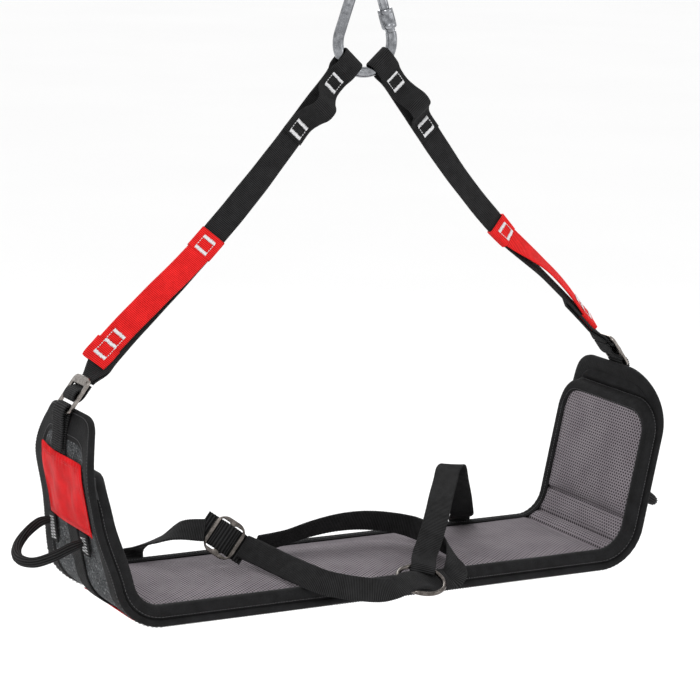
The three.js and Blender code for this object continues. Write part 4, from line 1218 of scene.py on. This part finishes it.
# ------------------------------------------------------------------ carabiner
def on_gate(u, out=0.0):
    """A place on the carabiner's straight gate side, u up from the nose."""
    taper = math.asin((BASKET_R - CROWN_R) / CROWN_RISE)
    up = np.array([-math.sin(taper), 0, math.cos(taper)])
    away = np.array([math.cos(taper), 0, math.sin(taper)])
    return away * (BASKET_R + out) + np.array([0, 0, BASKET_Z]) + up * u


# The locking sleeve's section, as (place up from the nose, radius).
SLEEVE = ((4, 5.4), (4, 6.9), (4.8, 7.5), (6.5, 7.7), (8, 7.7), (8.6, 7.35), (9.2, 7.7), (19, 7.7),
          (19.6, 7.35), (20.2, 7.7), (21.8, 7.7), (23.2, 7.5), (24, 6.9), (24, 5.4))


def carabiner():
    """The steel connector: bar, gate, knurled sleeve and pin."""
    taper = math.asin((BASKET_R - CROWN_R) / CROWN_RISE)

    def arc(radius, centre, start, stop, count):
        turn = np.linspace(start, stop, count)
        return np.stack([radius * np.cos(turn), 0 * turn, centre + radius * np.sin(turn)], 1)
    crown = arc(CROWN_R, BASKET_Z + CROWN_RISE, taper, math.pi - taper, 30)
    basket = arc(BASKET_R, BASKET_Z, math.pi - taper, 2 * math.pi + taper, 60)
    hinge = [on_gate(u) for u in (38, 40.6, 43)]
    line = np.concatenate([hinge, crown, basket])
    grow = np.concatenate([[0.4], np.ones(len(line) - 1)])
    body = swept("carabiner_bar", line, (0, 1, 0), circle(BAR_R, 32), grow=grow)
    finished(body, "connector", STEEL, "polished_steel", "carabiner_body")
    gate_line = np.array([on_gate(u) for u in (*np.linspace(0.6, 36, 30), 37.2)])
    gate = swept("gate_bar", gate_line, (0, 1, 0), circle(5.0, 32), grow=[1.0] * 30 + [0.6])
    finished(gate, "gate", STEEL, "polished_steel", "carabiner_gate")
    lobes = 20
    turn = np.arange(160) * 2 * math.pi / 160
    away = unit(on_gate(0, 1) - on_gate(0, 0))
    rings = []
    for u, radius in SLEEVE:
        knurl = 0.22 * np.abs(np.cos(turn * lobes)) if 9 < u < 19.3 else 0.0
        size = radius - knurl
        rings.append(on_gate(u) + away * (size * np.cos(turn))[:, None]
                     + np.array([0, 1.0, 0]) * (size * np.sin(turn))[:, None])
    sleeve = loft("lock_sleeve_grip", np.array(rings), closed=True, sharp=35)
    finished(sleeve, "sleeve", STEEL, "polished_steel", "lock_sleeve")
    pin_line = on_gate(42) + np.array([0, 1.0, 0]) * np.linspace(-5.6, 5.6, 9)[:, None]
    pin = swept("gate_rivet", pin_line, away, circle(2.0, 20))
    finished(pin, "connector", STEEL, "polished_steel", "gate_pin")


# ------------------------------------------------------------------ retaining strap
RING = {"at": np.array([20.7, -106.0, -582.6]), "radius": 23.8, "wire": 2.3}
RING_UP = unit([0.015, -0.34, 0.935])
SLIDER = {"at": np.array([-134.0, 22.0, -555.0]), "length": 34.0, "width": 41.0, "thick": 2.6, "rim": 4.5}


def ring_turn(way, facing):
    """A strip's turn round the ring's wire, coming in on top from the given side."""
    way = np.asarray(way, float)
    outward = unit(way - RING_UP * (way @ RING_UP))
    wire = RING["at"] + outward * RING["radius"]
    across = np.cross(RING_UP, outward)
    across = across if across @ np.asarray(facing, float) > 0 else -across
    clear = RING["wire"] + GAP + WEB_THICK / 2 + 0.5
    sag = RING["radius"] - math.sqrt(RING["radius"] ** 2 - (WEB_WIDTH / 2) ** 2)
    places = [(9, clear), (-sag, clear), (-sag - clear, 0), (-sag, -clear), (7, -clear)]
    return [(wire + outward * out + RING_UP * up, across) for out, up in places]


def through_ring(t, up):
    """A place on the strap that passes over the ring's left and under its right."""
    way = np.array([1.0, 0.4 if t < 0 else 0.12, 0.0])
    way = unit(way - RING_UP * (way @ RING_UP))
    return RING["at"] + way * t + RING_UP * up, (-0.3, 0.8, 0.5)


def retaining_strap():
    """Its rear web, the long web through the ring, and the web that arches over to the rear edge."""
    rear = [((-205, 90.5, -594), (1, 0, 0)), ((-203, 92.5, -580), (1, -0.1, 0)),
            ((-197, 82, -571), (0.9, 0.4, 0)), ((-187, 66, -562), (0.8, 0.6, 0.1)),
            ((-172, 46, -549), (0.6, 0.5, 0.6)), ((-152, 30, -547), (0.6, 0.3, 0.75))]
    long = [((-118, 12, -563), (0.6, 0.0, 0.8)), ((-110, -18, -566), (0.6, 0.05, 0.75)),
            ((-103, -45, -569), (0.58, 0.1, 0.75)), ((-96, -75, -571), (0.5, 0.25, 0.78)),
            ((-85, -97, -574.5), (0.4, 0.35, 0.82)), ((-68, -108, -578.5), (0.3, 0.4, 0.85)),
            ((-47, -113.5, -582.5), (0.15, 0.5, 0.85)), ((-30, -118, -584), (0, 0.6, 0.8)),
            *(through_ring(t, up) for t, up in ((-36, 4.4), (-25, 5.4), (-17, 5.2), (0, 0), (17, -6.2),
                                                (25, -6.4), (33, -6), (39, -6))),
            ((67, -95, -581.5), (-0.35, 0.72, 0.6)), ((75, -79, -571.5), (-0.5, 0.45, 0.72)),
            ((80, -62, -569.5), (-0.45, 0.2, 0.85)), ((83, -42, -568), (-0.3, 0, 0.93)),
            ((83, -16, -565), (-0.1, -0.15, 0.98)), ((77, 10, -563), (0.1, -0.3, 0.95)),
            ((62, 24, -560), (0.05, -0.4, 0.9)), ((40, 33, -557.5), (0.05, -0.4, 0.9)),
            ((8, 38, -557), (0, -0.45, 0.9)), ((-30, 38, -561), (0, -0.5, 0.85)),
            ((-62, 34, -566), (0.1, -0.5, 0.8)), ((-100, 22, -566), (0.4, -0.3, 0.8))]
    cross = [*reversed(ring_turn((0.5, 0.85, 0), (1, 0, 0))[1:]),
             ((42, -75, -567), (0.95, -0.4, 0)), ((50, -69, -557), (0.95, -0.4, 0)),
             ((60, -61, -544), (0.95, -0.45, 0)), ((82, -36, -522), (0.9, -0.55, 0)),
             ((101, -12, -510), (0.9, -0.6, 0)), ((114, 4, -502), (0.9, -0.6, 0)),
             ((126, 14, -503), (0.9, -0.6, 0)), ((135, 21, -522), (0.9, -0.6, 0)),
             ((147, 33, -546), (0.95, -0.5, 0)), ((159, 49, -565), (0.95, -0.4, 0)),
             ((173, 74, -576), (1, -0.2, 0)), ((182, 91.5, -585), (1, 0, 0)),
             ((183, 91.5, -598), (1, 0, 0))]
    for name, route, nodes in (("retainer_rear_strap", rear, ["retainer_rear_web"]),
                               ("retainer_long_strap", long, ["retainer_front_web", "retainer_back_web"]),
                               ("cross_strap", cross, ["cross_web"])):
        finished(webbing(name, route_frames(route)), "seat", BLACK_WEB, "black_webbing", *nodes)


def ring():
    turn = np.linspace(0, 2 * math.pi, 120, endpoint=False)
    side = unit(np.cross(RING_UP, [0, 1.0, 0]))
    other = np.cross(RING_UP, side)
    line = RING["at"] + RING["radius"] * (side * np.cos(turn)[:, None] + other * np.sin(turn)[:, None])
    piece = swept("retainer_o_ring", line, RING_UP, circle(RING["wire"], 20), closed=True)
    finished(piece, "seat", DARK_METAL, "polished_steel", "retainer_ring")


def slider():
    """The three-bar slider and the webbing folded over its middle bar."""
    across = unit([0.6, 0.0, 0.8])
    along = unit([0.64, -0.45, -0.48])
    face = unit(np.cross(across, along))
    square = np.cross(face, across)
    half, rim = SLIDER["length"] / 2, SLIDER["rim"]
    reach = SLIDER["width"] / 2 - rim
    outlines = [rounded_outline(SLIDER["width"] / 2, -half, half, 12.0)]
    for low, high in ((2.6, half - rim), (rim - half, -2.6)):
        outlines.append(rounded_outline(reach, low, high, 2.2))
    piece = plate("slider_frame", outlines, SLIDER["thick"], 0.9, basis(across, square, face, SLIDER["at"]))
    finished(piece, "seat", DARK_METAL, "gunmetal_steel", "retainer_slider")
    route = [(-27, -2.4), (-20, -3.0), (-14.8, -3.3), (-10, -1.6), (-6.0, 2.2), (0, 3.6), (6.0, 2.2),
             (10, -1.6), (14.8, -3.3), (20, -3.2), (27, -2.6)]
    line = [(SLIDER["at"] + square * t - face * h, across) for t, h in route]
    wrap = webbing("slider_wrap", route_frames(line), 29.0, height=0.55, pitch=3.4)
    finished(wrap, "seat", BLACK_WEB, "black_webbing")


# ------------------------------------------------------------------ kept inner nodes
def inner_nodes():
    """The boards, bent with the left wing, and the spring, which is the CAD's own."""
    for name in ("seat_board", "left_wing_stiffener", "right_wing_stiffener"):
        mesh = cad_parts[name].data.copy()
        for vertex in mesh.vertices:
            vertex.co = settled(np.array(vertex.co) / MM) * MM
        board = bpy.data.objects.new(name + "_sheet", mesh)
        bpy.context.scene.collection.objects.link(board)
        finished(board, "seat", BOARD, "stiff_board", name)
    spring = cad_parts["gate_spring"]
    spring.data.materials.clear()
    spring.data.materials.append(STEEL)


# ------------------------------------------------------------------ camera, light and floor
def camera():
    data = bpy.data.cameras.new("camera")
    data.lens = 140.0
    data.sensor_width = 36.0
    data.clip_end = 50.0
    eye = bpy.data.objects.new("camera", data)
    yaw, pitch, roll = math.radians(28.64), math.radians(11.16), math.radians(1.45)
    ahead = Vector((math.sin(yaw) * math.cos(pitch), math.cos(yaw) * math.cos(pitch), -math.sin(pitch)))
    right = Vector((math.cos(yaw), -math.sin(yaw), 0.0))
    up = right.cross(ahead)
    x_axis = right * math.cos(roll) + up * math.sin(roll)
    y_axis = up * math.cos(roll) - right * math.sin(roll)
    eye.matrix_world = basis(x_axis, y_axis, -ahead, (-1.2930, -2.3528, 0.1609))
    bpy.context.scene.collection.objects.link(eye)
    bpy.context.scene.camera = eye


def area_light(name, place, target, size, power):
    data = bpy.data.lights.new(name, "AREA")
    data.shape = "DISK"
    data.size = size
    data.energy = power
    lamp = bpy.data.objects.new(name, data)
    lamp.location = place
    lamp.rotation_mode = "QUATERNION"
    lamp.rotation_quaternion = (Vector(target) - Vector(place)).to_track_quat("-Z", "Y")
    bpy.context.scene.collection.objects.link(lamp)


def studio():
    """White surroundings, three soft lights and a pale floor."""
    scene = bpy.context.scene
    scene.view_settings.view_transform = "Standard"
    world = bpy.data.worlds.new("studio")
    world.use_nodes = True
    world.node_tree.nodes["Background"].inputs["Color"].default_value = rgb(1.0, 1.0, 1.0)
    world.node_tree.nodes["Background"].inputs["Strength"].default_value = 1.0
    scene.world = world
    middle = (0.0, 0.0, -0.4)
    area_light("key", (-1.3, -1.8, 1.5), middle, 1.0, 26)
    area_light("fill", (1.9, -1.6, 0.4), middle, 1.4, 6)
    area_light("rim", (0.6, 2.0, 1.2), middle, 1.0, 14)
    size, level = 14.0, -0.95
    corners = [(-size, -size, level), (size, -size, level), (size, size, level), (-size, size, level)]
    floor = build("floor", np.array(corners) / MM, [(0, 1, 2, 3)])
    look = Look("pale_floor", 0.9, specular=0.1)
    look.colour(look.mix(look.between(look.noise(900.0, 2.0), 0.2, 0.8), rgb(0.965, 0.965, 0.965),
                         rgb(0.98, 0.98, 0.98)))
    floor.data.materials.append(look.material)


camera()
studio()
pad()
bindings()
shell()
wing_linings()
patches()
underside()
seat_webbing()
buckles()
buckle_webbing()
hanging_straps()
gear_loops()
carabiner()
retaining_strap()
ring()
slider()
inner_nodes()
